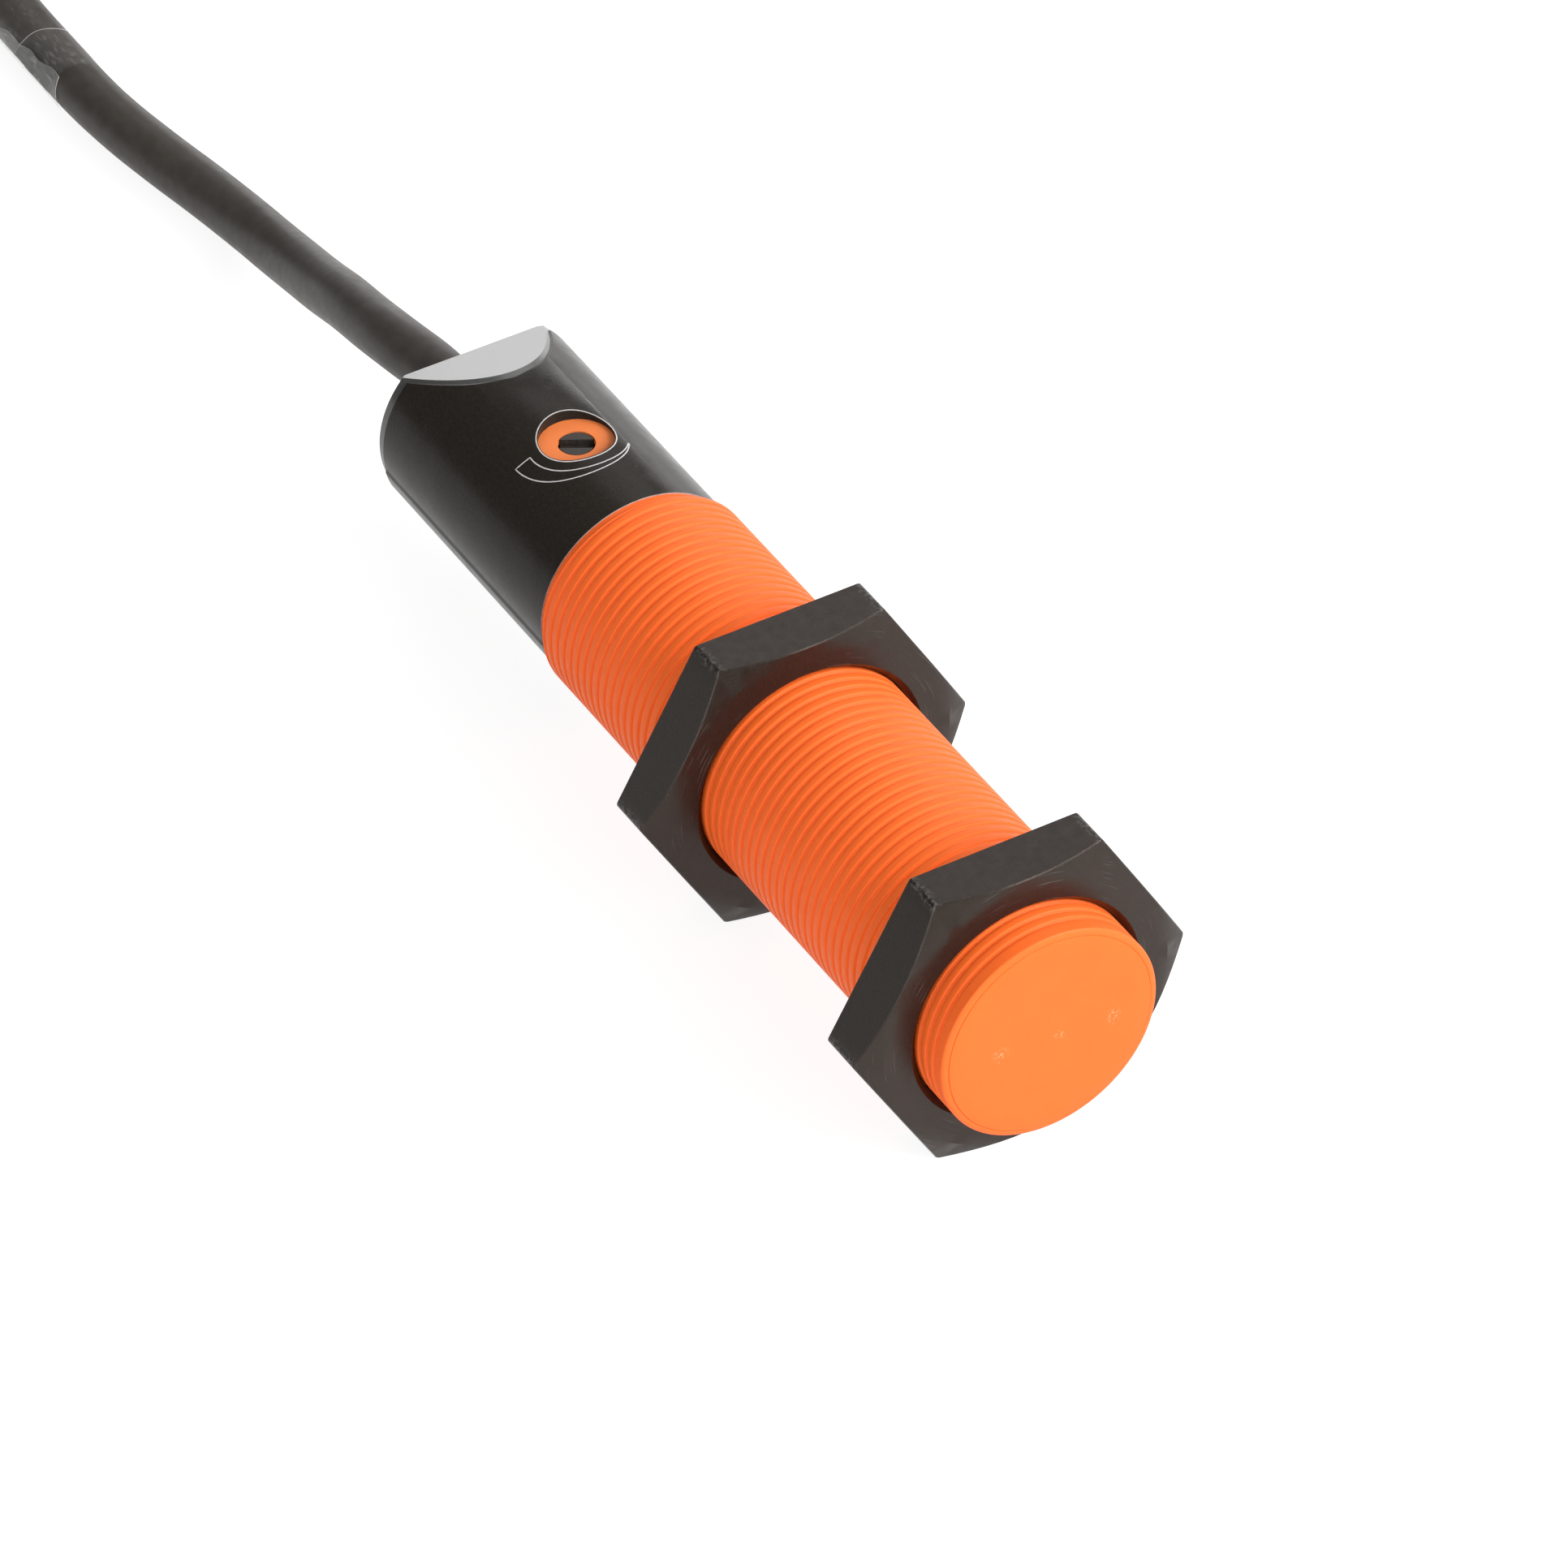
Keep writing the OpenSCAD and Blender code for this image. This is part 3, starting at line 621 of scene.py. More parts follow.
def woven_fabric():
    """Black hook and loop strap: a fine weave with a napped surface."""
    made = material("black_strap_fabric", 0.85)
    add_sheen(made, 0.3, 0.5)
    inputs = {"Vector": place(made), "Scale": 0.5 / WEAVE_PITCH, "Distortion": 1.5}
    wave = add(made, "ShaderNodeTexWave", inputs)
    mottle = ranged(made, grain(made, 0.4 * MM, 3), 0.3, 0.7)
    to_shader(made, "Base Color", between(made, mottle, (0.016, 0.016, 0.017), (0.045, 0.045, 0.047)))
    raised(made, total(made, wave.outputs["Fac"], grain(made, 0.2 * MM, 2)), 0.12 * MM)
    return made


def plain_finish(name, dark, light, rough, size, depth, **values):
    """Finish with a mottle and grain of one size, for the inner pieces and small parts."""
    made = material(name, rough, **values)
    lumps = grain(made, size, 3)
    to_shader(made, "Base Color", between(made, ranged(made, lumps, 0.35, 0.65), dark, light))
    to_shader(made, "Roughness", ranged(made, lumps, 0.3, 0.7, max(0.05, rough - 0.08), min(1, rough + 0.08)))
    raised(made, grain(made, size / 3, 3), depth)
    return made


# Pieces of the barrel
BARREL_SEGMENTS = 144
# Thread profile over one pitch from the middle of a crest: (share of the pitch, share of the depth)
THREAD_PROFILE = (
    (0, 1), (0.24, 1), (0.28, 0.96), (0.31, 0.82), (0.35, 0.5), (0.39, 0.18), (0.42, 0.04), (0.46, 0),
    (0.54, 0), (0.58, 0.04), (0.61, 0.18), (0.65, 0.5), (0.69, 0.82), (0.72, 0.96), (0.76, 1),
)
RUNOUT_FADE = 0.5 * MM
LAND_FADE = 0.3 * MM
ROUND_STEPS = 8
FACE_RINGS = 6


def thread_radius(x, height):
    """Radius of the thread there: it fades into the run-out groove and into the nose's plain land."""
    groove = CREST_R - RUNOUT_DEPTH
    cut = CREST_R - THREAD_DEPTH * (1 - height)
    faded = groove + (cut - groove) * ease((x - tail_x - RUNOUT_W) / RUNOUT_FADE)
    return faded + (CREST_R - faded) * ease((x - face_x + NOSE_LAND + LAND_FADE) / LAND_FADE)


def thread_rows():
    """Rows that follow the thread's helix, held between the run-out groove and the nose's rounded rim."""
    start = tail_x + RUNOUT_W
    end = face_x - NOSE_LINE - NOSE_EDGE_H
    pitches = int((end - start) / THREAD_PITCH) + 3
    rows = []
    for pitch in range(pitches):
        for share, height in THREAD_PROFILE:
            row = []
            for angle in angles(BARREL_SEGMENTS):
                x = start + THREAD_PITCH * (pitch - 1 + share - angle / FULL_TURN)
                held = min(end, max(start, x))
                row.append(around(held, thread_radius(held, height), angle))
            rows.append(row)
    return rows


def nose_profile():
    """Rounded rim, the fine line inside it and the front face as (x, radius), from the land inwards."""
    rim_x = face_x - NOSE_LINE
    rim_r = CREST_R - NOSE_EDGE_W
    profile = []
    for i in range(1, ROUND_STEPS + 1):
        swing = math.pi / 2 * i / ROUND_STEPS
        x = rim_x - NOSE_EDGE_H * (1 - math.sin(swing))
        profile.append((x, CREST_R - NOSE_EDGE_W * (1 - math.cos(swing))))
    profile.append((rim_x - NOSE_LINE / 2, rim_r - NOSE_LINE / 2))
    profile.append((face_x - NOSE_LINE / 4, rim_r - NOSE_LINE))
    face_r = rim_r - 2 * NOSE_LINE
    return profile + [(face_x, face_r * (FACE_RINGS - i) / FACE_RINGS) for i in range(FACE_RINGS)]


def make_barrel():
    """Cup with its thread; the helix joins the row one pitch on where it closes round the barrel."""
    inner_x = face_x - FACE_T
    groove_r = CREST_R - RUNOUT_DEPTH
    lead = ((inner_x, BORE_R), (joint_x, BORE_R), (joint_x, TAIL_R), (tail_x, TAIL_R), (tail_x, groove_r))
    rows = turned_rows(lead, BARREL_SEGMENTS)
    plain = len(rows)
    rows += thread_rows()
    last = len(rows) - 1
    rows += turned_rows(nose_profile(), BARREL_SEGMENTS)
    points = [point for row in rows for point in row]
    faces = []
    per_pitch = len(THREAD_PROFILE)
    for i in range(len(rows) - 1):
        if plain <= i < last:
            continue
        faces += ring_faces(i * BARREL_SEGMENTS, (i + 1) * BARREL_SEGMENTS, BARREL_SEGMENTS)
    for i in range(plain, last):
        for j in range(BARREL_SEGMENTS):
            seam = j + 1 == BARREL_SEGMENTS
            other = max(plain, i - per_pitch) if seam else i
            after = max(plain, i + 1 - per_pitch) if seam else i + 1
            k = (j + 1) % BARREL_SEGMENTS
            corners = (i, j), (other, k), (after, k), (i + 1, j)
            faces.append(tuple(row * BARREL_SEGMENTS + column for row, column in corners))
    for row, x in ((0, inner_x), (len(rows) - 1, face_x)):
        points.append(Vector((x, 0, axis_z)))
        first = row * BARREL_SEGMENTS
        for j in range(BARREL_SEGMENTS):
            faces.append((first + j, first + (j + 1) % BARREL_SEGMENTS, len(points) - 1))
    barrel = piece_from_faces("barrel", points, faces)
    top = axis_z + 2 * CREST_R
    bore_down(barrel, port_x, ((axis_z, PORT_R), (seat_z, PORT_R), (seat_z, WINDOW_R), (top, WINDOW_R)))
    return barrel


CAP_CHAMFER = 0.35 * MM
CAP_FIT = 0.05 * MM
CAP_WALL = 1.6 * MM
CAP_FLOOR_T = 4.5 * MM
CAP_HOLE_EDGE = 0.3 * MM


def make_cap():
    """Rear plug: its rim, its slanted flat and the spigot inside the barrel."""
    hole_r = CABLE_R + CAP_FIT
    spigot_r = BORE_R - CAP_FIT
    pocket_r = spigot_r - CAP_WALL
    floor_x = end_x + CAP_FLOOR_T
    profile = (
        (end_x, hole_r + CAP_HOLE_EDGE), (end_x, TAIL_R - CAP_CHAMFER), (end_x + CAP_CHAMFER, TAIL_R),
        (joint_x, TAIL_R), (joint_x, spigot_r), (cap_high.x, spigot_r), (cap_high.x, pocket_r),
        (floor_x, pocket_r), (floor_x, hole_r), (end_x + CAP_HOLE_EDGE, hole_r),
    )
    cap = piece_from_rows("rear_cap", turned_rows(profile, BARREL_SEGMENTS))
    cut_flat(cap, flat_point, flat_normal)
    return cap


LABEL_FLAT_MARGIN = 0.2 * MM
LABEL_IN_R = 8.37 * MM
LABEL_R = 8.52 * MM
LAP_ANGLE = math.radians(-107.8)
LAP_T = 0.1 * MM
LAP_HALF = math.radians(7)
LAP_FLAT_SHARE = 0.7
SKIN_FACING = 0.9
WINDOW_MARGIN = 0.1 * MM


def make_label():
    """Wrapped film with its window, cut back along the slanted flat."""
    front, rear = label_high.x, label_low.x
    profile = (rear, LABEL_IN_R), (rear, LABEL_R), (front, LABEL_R), (front, LABEL_IN_R)
    rows = []
    for x, radius in profile:
        rows.append([label_point(x, radius, angle) for angle in angles(2 * BARREL_SEGMENTS)])
    label = piece_from_rows("label_film", rows)
    cut_flat(label, flat_point - LABEL_FLAT_MARGIN * flat_normal, flat_normal)
    bore_down(label, port_x, ((axis_z, WINDOW_R), (axis_z + 2 * LABEL_R, WINDOW_R)))
    return label


def label_point(x, radius, angle):
    """Point on the film, which is raised where its ends lap."""
    turn = (angle - LAP_ANGLE + math.pi) % FULL_TURN - math.pi
    lap = 1 - ease((abs(turn) / LAP_HALF - LAP_FLAT_SHARE) / (1 - LAP_FLAT_SHARE))
    return around(x, radius + LAP_T * lap * (radius == LABEL_R), angle)


def paint_label_edges(label, film, edge):
    """Pale core on the cut edges, apart from the window's."""
    label.data.materials.append(film)
    label.data.materials.append(edge)
    for face in label.data.polygons:
        outward = Vector((0, face.center.y, face.center.z - axis_z)).normalized()
        on_skin = abs(face.normal.dot(outward)) > SKIN_FACING
        at_window = math.hypot(face.center.x - port_x, face.center.y) < WINDOW_R + WINDOW_MARGIN
        face.material_index = 0 if on_skin or (at_window and face.center.z > axis_z) else 1


LIP_T = 0.1 * MM
LIP_GAP = 0.01 * MM


def make_window_lip():
    """Film turned down into the seat at the window's edge."""
    inner_r = WINDOW_R - LIP_T
    corners = (WINDOW_R, False), (WINDOW_R, True), (inner_r, True), (inner_r, False)
    rows = []
    for angle in angles(BARREL_SEGMENTS):
        row = []
        for radius, at_top in corners:
            y = radius * math.sin(angle)
            top_z = axis_z + math.sqrt(LABEL_R ** 2 - y ** 2)
            row.append(Vector((port_x + radius * math.cos(angle), y, top_z if at_top else seat_z + LIP_GAP)))
        rows.append(row)
    return piece_from_rows("window_lip", rows)


# Printed ring at the window's edge, and a wedge that says which way to turn, measured round the window
INK_W = 0.095 * MM
INK_T = 0.01 * MM
WEDGE_IN_R = 3.95 * MM
WEDGE_OUT_R = (5.35 * MM, 4.02 * MM)
WEDGE_ANGLES = (math.radians(-95), math.radians(54))
WEDGE_STEPS = 40
END_STEPS = 8


def ring_path():
    """Closed path round the window as (x, arc)."""
    radius = WINDOW_R + INK_W / 2
    return [(radius * math.cos(angle), radius * math.sin(angle)) for angle in angles(BARREL_SEGMENTS)]


def wedge_path():
    """Closed path round the wedge as (x, arc): out along its outer side, back along its inner side."""
    start, end = WEDGE_ANGLES
    path = []
    for back in (False, True):
        for i in range(WEDGE_STEPS + 1):
            share = (WEDGE_STEPS - i if back else i) / WEDGE_STEPS
            angle = start + (end - start) * share
            outer = WEDGE_OUT_R[0] + (WEDGE_OUT_R[1] - WEDGE_OUT_R[0]) * share
            radius = WEDGE_IN_R if back else outer
            path.append((radius * math.cos(angle), radius * math.sin(angle)))
    for i in range(1, END_STEPS):
        radius = WEDGE_IN_R + (WEDGE_OUT_R[0] - WEDGE_IN_R) * i / END_STEPS
        path.append((radius * math.cos(start), radius * math.sin(start)))
    return path


def printed_line(name, path):
    """Line of ink on the film along a closed path of (x, arc) from the middle of the window."""
    rows = []
    for i, (x, arc) in enumerate(path):
        ahead = Vector(path[(i + 1) % len(path)])
        behind = Vector(path[i - 1])
        run = (ahead - behind).normalized()
        row = []
        for side, height in ((-0.5, -INK_T), (0.5, -INK_T), (0.5, INK_T), (-0.5, INK_T)):
            at_x = port_x + x - side * INK_W * run.y
            at_arc = arc + side * INK_W * run.x
            row.append(around(at_x, LABEL_R + height, at_arc / LABEL_R))
        rows.append(row)
    return piece_from_rows(name, rows)


# Lock nuts
NUT_CHAMFER = math.radians(28)
NUT_CLEAR_R = 9.05 * MM
NUT_COUNTERSINK = 0.5 * MM
NUT_CORNER = 0.35 * MM
NUT_EDGE = 0.08 * MM
NUT_RING_SHARE = 0.55
FLAT_POINTS = 13
CORNER_POINTS = 7


def hexagon_outline():
    """Outline of the nut as (angle, radius): flats with rounded corners."""
    outline = []
    half_side = math.pi / 6
    half = (flat_r - NUT_CORNER) * math.tan(half_side)
    corner_at = (flat_r - NUT_CORNER) / math.cos(half_side)
    for side in range(6):
        turn = 2 * half_side * side
        for i in range(FLAT_POINTS):
            along = half * (2 * i / (FLAT_POINTS - 1) - 1)
            outline.append((turn + math.atan2(along, flat_r), math.hypot(flat_r, along)))
        for i in range(1, CORNER_POINTS):
            swing = turn + 2 * half_side * i / CORNER_POINTS
            corner = turn + half_side
            y = corner_at * math.sin(corner) + NUT_CORNER * math.sin(swing)
            z = corner_at * math.cos(corner) + NUT_CORNER * math.cos(swing)
            outline.append((math.atan2(y, z), math.hypot(y, z)))
    return outline


def make_nut(name, node):
    """Lock nut, chamfered on the front corners and countersunk on both sides."""
    low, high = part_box(node)
    slope = math.tan(NUT_CHAMFER)
    sink_r = NUT_CLEAR_R + NUT_COUNTERSINK

    def chamfer_x(radius):
        return high.x - slope * max(0, radius - flat_r)

    def row(station):
        return [around(*station(radius), angle) for angle, radius in hexagon_outline()]

    stations = (
        lambda r: (high.x - NUT_COUNTERSINK, NUT_CLEAR_R),
        lambda r: (high.x, sink_r),
        lambda r: (high.x, sink_r + NUT_RING_SHARE * (flat_r - sink_r)),
        lambda r: (high.x, min(r, flat_r) - 2 * NUT_EDGE),
        lambda r: (chamfer_x(r - NUT_EDGE), r - NUT_EDGE),
        lambda r: (chamfer_x(r) - NUT_EDGE, r),
        lambda r: (low.x + NUT_EDGE, r),
        lambda r: (low.x, r - NUT_EDGE),
        lambda r: (low.x, sink_r),
        lambda r: (low.x + NUT_COUNTERSINK, NUT_CLEAR_R),
    )
    return piece_from_rows(name, [row(station) for station in stations])


# Tape, tie and stripped ends on the cable
# Turns of tape: (far end, near end, distance off the jacket)
TAPE_LAYERS = ((-117 * MM, -106 * MM, 0.03 * MM), (-111.65 * MM, -106.2 * MM, 0.09 * MM))
TAPE_T = 0.03 * MM
TAPE_Y = -1 * MM
TAPE_SEGMENTS = 48
TAPE_STEPS = 10
TAPE_SLANT = 0.9 * MM
TAPE_SLANT_FROM = 0.6
TAPE_WAVE = 0.08 * MM
TAPE_PUCKER = 0.01 * MM
# Reach and facing of the painted highlight on the tape's upper edges
TAPE_PALE_REACH = 1 * MM
TAPE_EDGE_FACING = 0.6
FLAP_ENDS = (-118 * MM, -105 * MM)
FLAP_FROM = math.radians(-116)
# Angle of the flap's inner edge, at its far and near ends
FLAP_TO = (math.radians(-74), math.radians(-46))
FLAP_STEPS = 26
FLAP_SPANS = 10
FLAP_LIFT = 0.16 * MM
FLAP_PUCKER = 0.02 * MM
FLAP_WAVE = 0.05
FLAP_SKEW = 0.8 * MM
# Reach of the painted highlight on the flap's edges
FLAP_PALE_REACH = 2 * MM


def tape_point(x, radius, angle):
    """Point on a circle round the cable where the tape is, at that angle from the top."""
    return Vector((x, TAPE_Y + radius * math.sin(angle), LAY_Z + radius * math.cos(angle)))


def make_tape_layer(name, start, end, stand_off):
    """One turn of tape: a thin sleeve with slightly slanted, wavy ends."""
    inner = CABLE_R + stand_off
    rows = []
    stations = [(i / TAPE_STEPS, inner + TAPE_T) for i in range(TAPE_STEPS + 1)]
    stations += [(i / TAPE_STEPS, inner) for i in range(TAPE_STEPS, -1, -1)]
    for share, radius in stations:
        row = []
        for angle in angles(TAPE_SEGMENTS):
            slant = TAPE_SLANT * math.sin(angle + TAPE_SLANT_FROM) + TAPE_WAVE * math.sin(5 * angle)
            pucker = TAPE_PUCKER * math.sin(7 * angle + 9 * share)
            row.append(tape_point(start + (end - start) * share + slant, radius + pucker, angle))
        rows.append(row)
    return piece_from_rows(name, rows)


def make_tape_flap():
    """Loose end of the tape, which lifts off along the cable's side."""
    start, end = FLAP_ENDS
    far_to, near_to = FLAP_TO
    points = []
    for outer in (0, 1):
        for i in range(FLAP_STEPS + 1):
            share = i / FLAP_STEPS
            for j in range(FLAP_SPANS + 1):
                across = j / FLAP_SPANS
                lift = FLAP_LIFT + FLAP_PUCKER * math.sin(11 * share + 3 * across)
                inner = far_to + (near_to - far_to) * share + FLAP_WAVE * math.sin(23 * share)
                angle = FLAP_FROM + (inner - FLAP_FROM) * (1 - across)
                x = start + (end - start) * share - FLAP_SKEW * (1 - across) * share
                points.append(tape_point(x, CABLE_R + lift + outer * TAPE_T, angle))
    faces = []
    width = FLAP_SPANS + 1
    layer = (FLAP_STEPS + 1) * width
    for i in range(FLAP_STEPS):
        for j in range(FLAP_SPANS):
            corner = i * width + j
            quad = (corner, corner + 1, corner + width + 1, corner + width)
            faces.append(quad)
            faces.append(tuple(layer + index for index in reversed(quad)))
    rim = list(range(width))
    rim += [i * width + FLAP_SPANS for i in range(1, FLAP_STEPS + 1)]
    rim += [FLAP_STEPS * width + j for j in range(FLAP_SPANS - 1, -1, -1)]
    rim += [i * width for i in range(FLAP_STEPS - 1, 0, -1)]
    for here, after in zip(rim, rim[1:] + rim[:1]):
        faces.append((here, after, after + layer, here + layer))
    return piece_from_faces("tape_flap", points, faces)


def paint_tape_edges(made, film, edge, pale_from, pale_to):
    """Pale upper edges between those stations, a painted highlight; the film itself is clear."""
    made.data.materials.append(film)
    made.data.materials.append(edge)
    for face in made.data.polygons:
        outward = Vector((0, face.center.y - TAPE_Y, face.center.z - LAY_Z)).normalized()
        is_edge = abs(face.normal.dot(outward)) < TAPE_EDGE_FACING and face.center.z > LAY_Z
        face.material_index = int(is_edge and pale_from < face.center.x < pale_to)


TIE_T = 0.6 * MM
TIE_EDGE = 0.15 * MM
TIE_CORNER_POINTS = 9


def tie_outline(inset):
    """Rounded rectangle across the hank, that far inside the tie's outside."""
    middle = (tie_low + tie_high) / 2
    radius = CABLE_R + TIE_T
    half_y = (tie_high.y - tie_low.y) / 2 - radius
    half_z = (tie_high.z - tie_low.z) / 2 - radius
    outline = []
    for corner, (side_y, side_z) in enumerate(((1, 1), (-1, 1), (-1, -1), (1, -1))):
        for i in range(TIE_CORNER_POINTS):
            angle = math.pi / 2 * (corner + i / (TIE_CORNER_POINTS - 1))
            y = side_y * half_y + (radius - inset) * math.cos(angle)
            z = side_z * half_z + (radius - inset) * math.sin(angle)
            outline.append((middle.y + y, middle.z + z))
    return outline


def make_tie():
    """Strap round the hank's waist, with soft edges."""
    left, right = tie_low.x, tie_high.x
    stations = (
        (left + TIE_EDGE, 0), (right - TIE_EDGE, 0), (right, TIE_EDGE), (right, TIE_T - TIE_EDGE),
        (right - TIE_EDGE, TIE_T), (left + TIE_EDGE, TIE_T), (left, TIE_T - TIE_EDGE), (left, TIE_EDGE),
    )
    rows = [[Vector((x, y, z)) for y, z in tie_outline(inset)] for x, inset in stations]
    return piece_from_rows("hank_strap", rows)


# Studio
FLOOR_HALF = 3
FLOOR_GLOW = 0.86
FLOOR_GREY = (0.8, 0.8, 0.8)
FLOOR_SHADE = (0.3, 0.3, 0.3, 1)
WHITE = (1, 1, 1, 1)
WORLD_HORIZON = 0.14
WORLD_TOP = 0.32
WORLD_RISE = (0.3, 0.75)
# Soft lamps: (name, place, aim, width, height, radiance)
LAMPS = (
    ("key_softbox", (0.75, 0.85, 0.75), (0, 0, 0.01), 1.0, 0.8, 9.0),
    ("front_softbox", (0.95, 0.22, 0.66), (0.02, 0, 0.01), 0.9, 0.8, 2.6),
    ("left_softbox", (0.55, -0.85, 0.42), (0, 0, 0.01), 0.7, 0.6, 3.8),
    ("rear_strip", (-1.24, 0.48, 0.12), (0, 0, 0.12), 0.9, 0.36, 1.9),
    ("top_card", (-0.86, 0.49, 0.84), (0, 0, 0.01), 0.6, 0.6, 1.3),
    ("rear_card", (-0.78, 0.98, 0.17), (0, 0, 0.10), 0.9, 0.36, 2.0),
)


def make_floor():
    """Pale floor that reads white to the eye and in reflections, and keeps the object's shadow."""
    corners = [(x * FLOOR_HALF, y * FLOOR_HALF, 0) for x, y in ((-1, -1), (1, -1), (1, 1), (-1, 1))]
    mesh = bpy.data.meshes.new("floor")
    mesh.from_pydata(corners, [], [(0, 1, 2, 3)])
    floor = linked("floor", mesh)
    made = material("white_floor", 0.9, FLOOR_GREY, Specular_IOR_Level=0)
    path = add(made, "ShaderNodeLightPath")
    seen = total(made, path.outputs["Is Camera Ray"], path.outputs["Is Glossy Ray"])
    seen = total(made, seen, path.outputs["Is Transmission Ray"])
    glow = add(made, "ShaderNodeEmission", {"Color": WHITE, "Strength": FLOOR_GLOW})
    dim = add(made, "ShaderNodeBsdfDiffuse", {"Color": FLOOR_SHADE})
    bright = add(made, "ShaderNodeAddShader", {0: glow.outputs[0], 1: dim.outputs[0]})
    shader = made.node_tree.nodes["Principled BSDF"]
    mix = add(made, "ShaderNodeMixShader", {0: seen, 1: shader.outputs[0], 2: bright.outputs[0]})
    made.node_tree.links.new(mix.outputs[0], made.node_tree.nodes["Material Output"].inputs["Surface"])
    floor.data.materials.append(made)


def make_world():
    """Studio air: dim towards the horizon, brighter overhead."""
    world = bpy.data.worlds.new("studio")
    scene.world = world
    world.use_nodes = True
    direction = add(world, "ShaderNodeTexCoord").outputs["Generated"]
    height = add(world, "ShaderNodeSeparateXYZ", {"Vector": direction}).outputs["Z"]
    strength = ranged(world, height, *WORLD_RISE, WORLD_HORIZON, WORLD_TOP)
    background = world.node_tree.nodes["Background"]
    background.inputs["Color"].default_value = WHITE
    world.node_tree.links.new(strength, background.inputs["Strength"])


def make_lamps():
    """Soft lamps, each turned to its aim."""
    for name, at, aim, width, height, radiance in LAMPS:
        data = bpy.data.lights.new(name, "AREA")
        data.shape = "RECTANGLE"
        data.size = width
        data.size_y = height
        data.energy = radiance * math.pi * width * height
        lamp = linked(name, data)
        lamp.location = at
        lamp.rotation_euler = (Vector(aim) - Vector(at)).to_track_quat("-Z", "Y").to_euler()


def dress(made, body, finish, slot, *stands_for):
    """Gives a new piece its finish and its body, and hides the nodes that it stands for. The slot is not
    used.
    """
    if finish:
        made.data.materials.append(finish)
    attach(made, body)
    if stands_for:
        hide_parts(*stands_for)


def dress_nodes(finish, *names):
    """Gives nodes that stay as they are a better finish."""
    for name in names:
        for material_slot in nodes[name].material_slots:
            material_slot.material = finish


make_camera()
make_world()
make_lamps()
make_floor()

jacket = cable_jacket()
cable = curve_piece("cable", [cable_path()], CABLE_R)
dress(cable, "sensor", jacket, "cable_jacket", "cable_run", "cable_hank")

brown = plain_finish("brown_insulation", (0.085, 0.034, 0.014), (0.12, 0.05, 0.02), 0.4, 0.8 * MM, 0.01 * MM)
blue = plain_finish("blue_insulation", (0.012, 0.05, 0.22), (0.018, 0.07, 0.30), 0.4, 0.8 * MM, 0.01 * MM)
tinned = plain_finish(
    "tinned_copper", (0.62, 0.61, 0.58), (0.78, 0.77, 0.74), 0.3, 0.3 * MM, 0.01 * MM, Metallic=1,
)
brown_wire = curve_piece("brown_wire", [core_path(-1)], CORE_R, 4)
dress(brown_wire, "sensor", brown, "brown_insulation", "brown_core")
blue_wire = curve_piece("blue_wire", [core_path(1)], CORE_R, 4)
dress(blue_wire, "sensor", blue, "blue_insulation", "blue_core")
strands = curve_piece("bare_strands", strand_paths(-1) + strand_paths(1), CORE_R / 6, 2)
dress(strands, "sensor", tinned, "tinned_copper", "core_ferrules")

strap = make_tie()
soften(strap, 50)
dress(strap, "sensor", woven_fabric(), "tie_fabric", "hank_tie")

tape_film = clear_tape("clear_tape_film", 0.015, 0.07)
flap_film = clear_tape("clear_tape_flap", 0.14, 0.36)
# Pale tape edges: a painted highlight
tape_highlight = tape_edge()
upper_start = TAPE_LAYERS[1][0]
tape_pieces = []
for i, layer in enumerate(TAPE_LAYERS):
    tape = make_tape_layer("tape_layer_%d" % (i + 1), *layer)
    paint_tape_edges(tape, tape_film, tape_highlight, upper_start - TAPE_PALE_REACH, upper_start + TAPE_PALE_REACH)
    tape_pieces.append(tape)
flap = make_tape_flap()
flap_end = FLAP_ENDS[1]
paint_tape_edges(flap, flap_film, tape_highlight, flap_end - FLAP_PALE_REACH, flap_end + TAPE_PALE_REACH)
tape_pieces.append(flap)
for tape in tape_pieces:
    soften(tape, 50)
    dress(tape, "sensor", None, "clear_tape", "tape_wrap")

orange = orange_plastic()
barrel = make_barrel()
soften(barrel)
dress(barrel, "sensor", orange, "orange_plastic", "threaded_housing")

nylon = nut_plastic()
for piece_name, node_name in (("front_lock_nut", "front_nut"), ("rear_lock_nut", "rear_nut")):
    nut = make_nut(piece_name, node_name)
    soften(nut, 25)
    dress(nut, node_name, nylon, "black_plastic", node_name)

cap = make_cap()
soften(cap, 15)
dress(cap, "sensor", cap_plastic(), "black_plastic", "end_cap")

film = label_film()
label = make_label()
paint_label_edges(label, film, label_edge())
soften(label, 30)
dress(label, "sensor", None, "label_film", "label_sleeve")
lip = make_window_lip()
soften(lip)
dress(lip, "sensor", film, "label_film", "label_sleeve")
ink = white_ink()
for piece_name, path in (("window_ring", ring_path()), ("turn_wedge", wedge_path())):
    line = printed_line(piece_name, path)
    dress(line, "sensor", ink, "label_film", "label_sleeve")

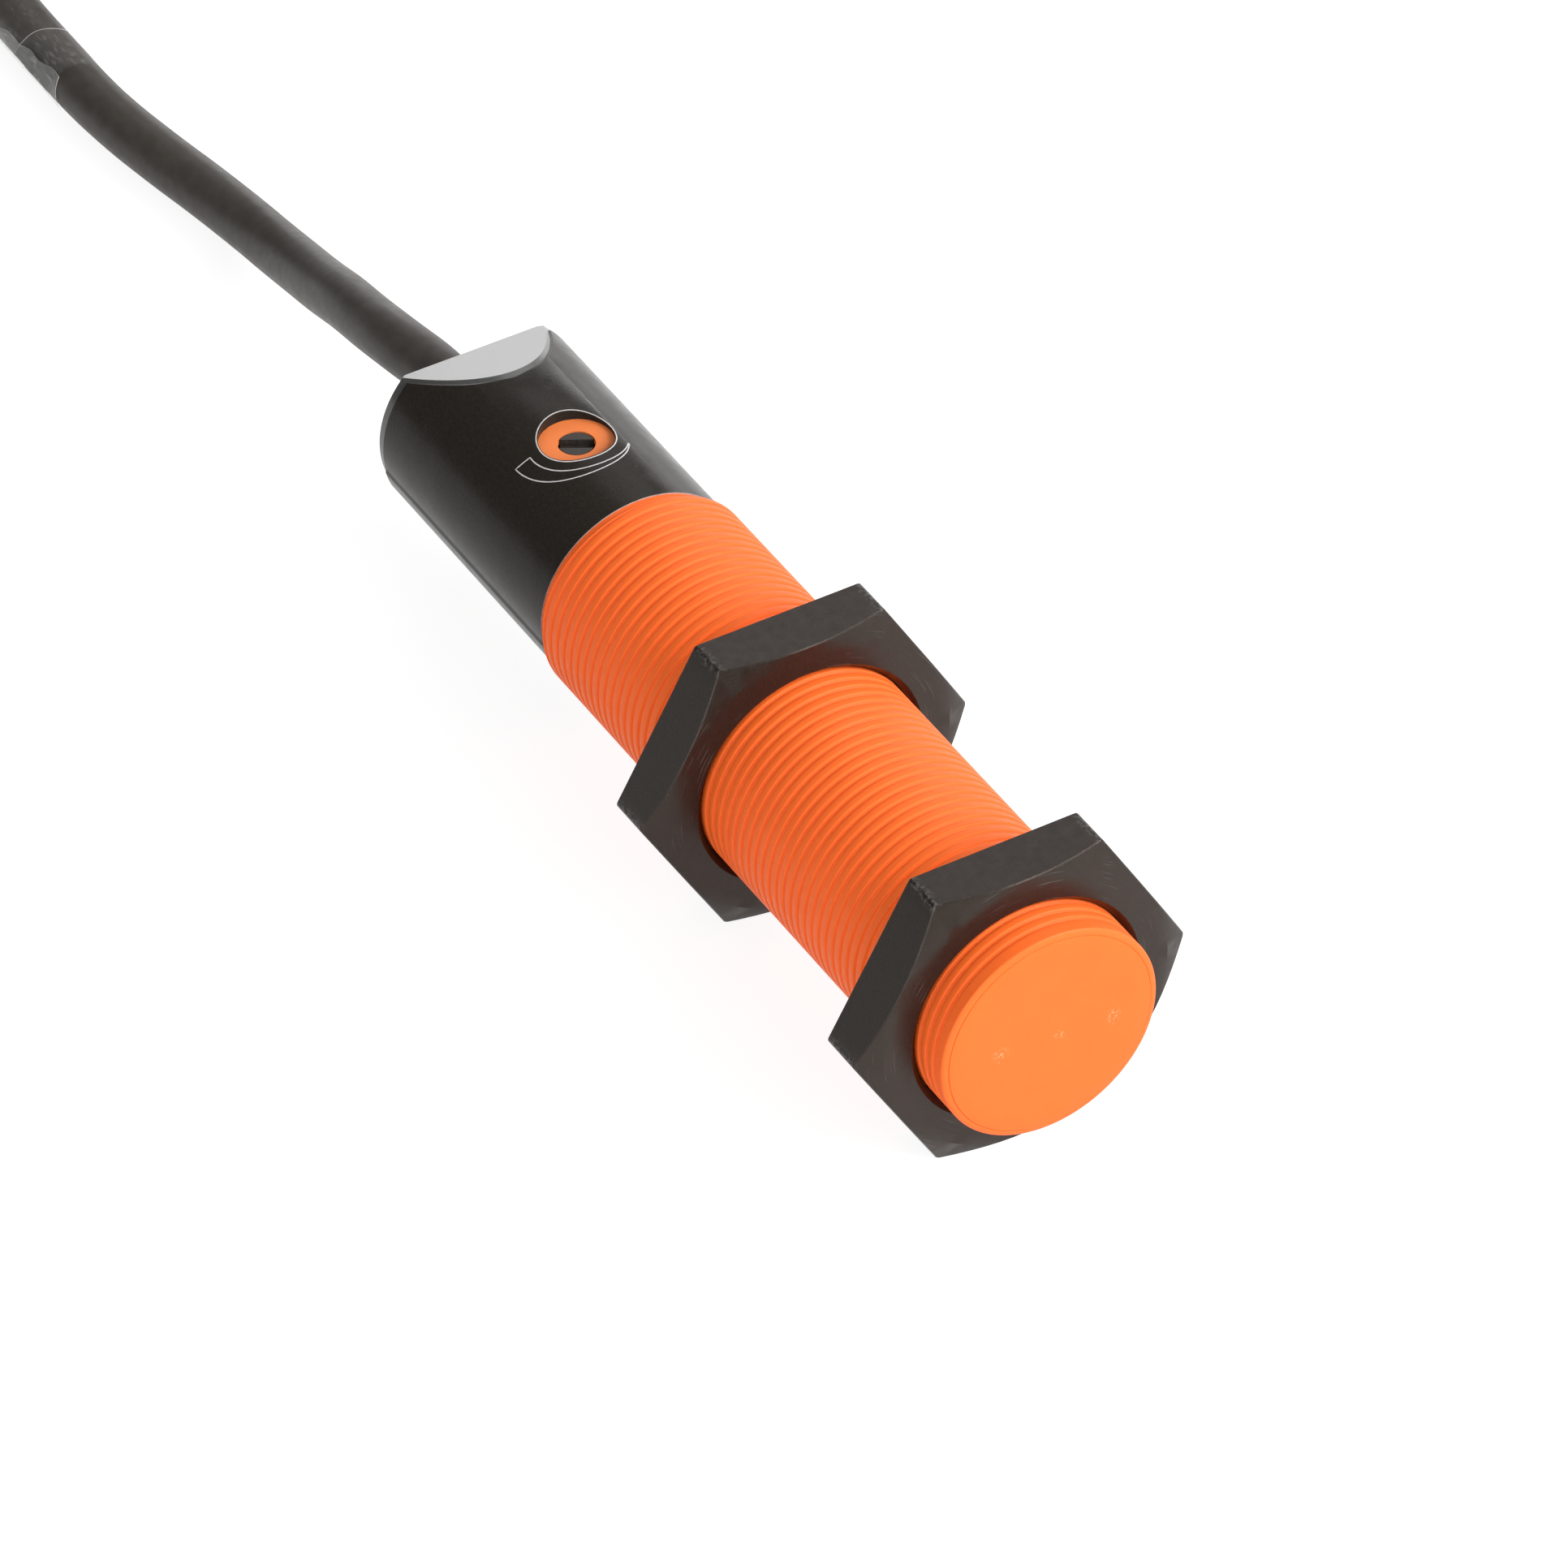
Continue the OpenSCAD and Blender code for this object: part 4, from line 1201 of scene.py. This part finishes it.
# Inner pieces keep their solids: finish, dark and light colour, roughness, grain, bump, metal, nodes
INNER_FINISHES = (
    (
        "electrode_brass", (0.62, 0.42, 0.15), (0.75, 0.54, 0.22), 0.32, 0.5 * MM, 0.01 * MM, 1,
        ("sensing_electrode", "guard_ring", "electrode_pin", "crimp_ring"),
    ),
    (
        "seal_rubber", (0.018, 0.018, 0.018), (0.03, 0.03, 0.03), 0.7, 0.4 * MM, 0.02 * MM, 0,
        ("trimmer_seal", "cable_seal"),
    ),
    (
        "component_plastic", (0.016, 0.016, 0.016), (0.03, 0.03, 0.03), 0.5, 0.3 * MM, 0.01 * MM, 0,
        ("oscillator_chip", "output_transistor", "rectifier_bridge", "chip_resistors"),
    ),
    (
        "board_laminate", (0.012, 0.10, 0.035), (0.018, 0.14, 0.05), 0.4, 0.6 * MM, 0.01 * MM, 0,
        ("circuit_board",),
    ),
    (
        "shield_metal", (0.55, 0.55, 0.56), (0.68, 0.68, 0.69), 0.35, 0.8 * MM, 0.01 * MM, 1,
        ("shield_sleeve",),
    ),
    (
        "carrier_plastic", (0.55, 0.54, 0.50), (0.66, 0.65, 0.61), 0.5, 0.6 * MM, 0.01 * MM, 0,
        ("electrode_carrier",),
    ),
    (
        "potting_resin", (0.030, 0.028, 0.026), (0.045, 0.043, 0.040), 0.25, 1.5 * MM, 0.02 * MM, 0,
        ("potting_fill",),
    ),
    (
        "trimmer_body_plastic", (0.02, 0.06, 0.20), (0.03, 0.08, 0.26), 0.4, 0.4 * MM, 0.01 * MM, 0,
        ("trimmer_body",),
    ),
    (
        "rotor_plastic", (0.022, 0.017, 0.014), (0.040, 0.033, 0.028), 0.45, 0.3 * MM, 0.01 * MM, 0,
        ("trimmer_rotor",),
    ),
    (
        "capacitor_shell", (0.02, 0.03, 0.06), (0.03, 0.04, 0.09), 0.3, 0.5 * MM, 0.01 * MM, 0,
        ("filter_capacitor",),
    ),
    (
        "absorber_shell", (0.05, 0.16, 0.30), (0.07, 0.21, 0.38), 0.35, 0.5 * MM, 0.02 * MM, 0,
        ("surge_absorber",),
    ),
)
for finish_name, dark, light, rough, size, depth, metal, node_names in INNER_FINISHES:
    dress_nodes(plain_finish(finish_name, dark, light, rough, size, depth, Metallic=metal), *node_names)
dress_nodes(brown, "brown_lead")
dress_nodes(blue, "blue_lead")
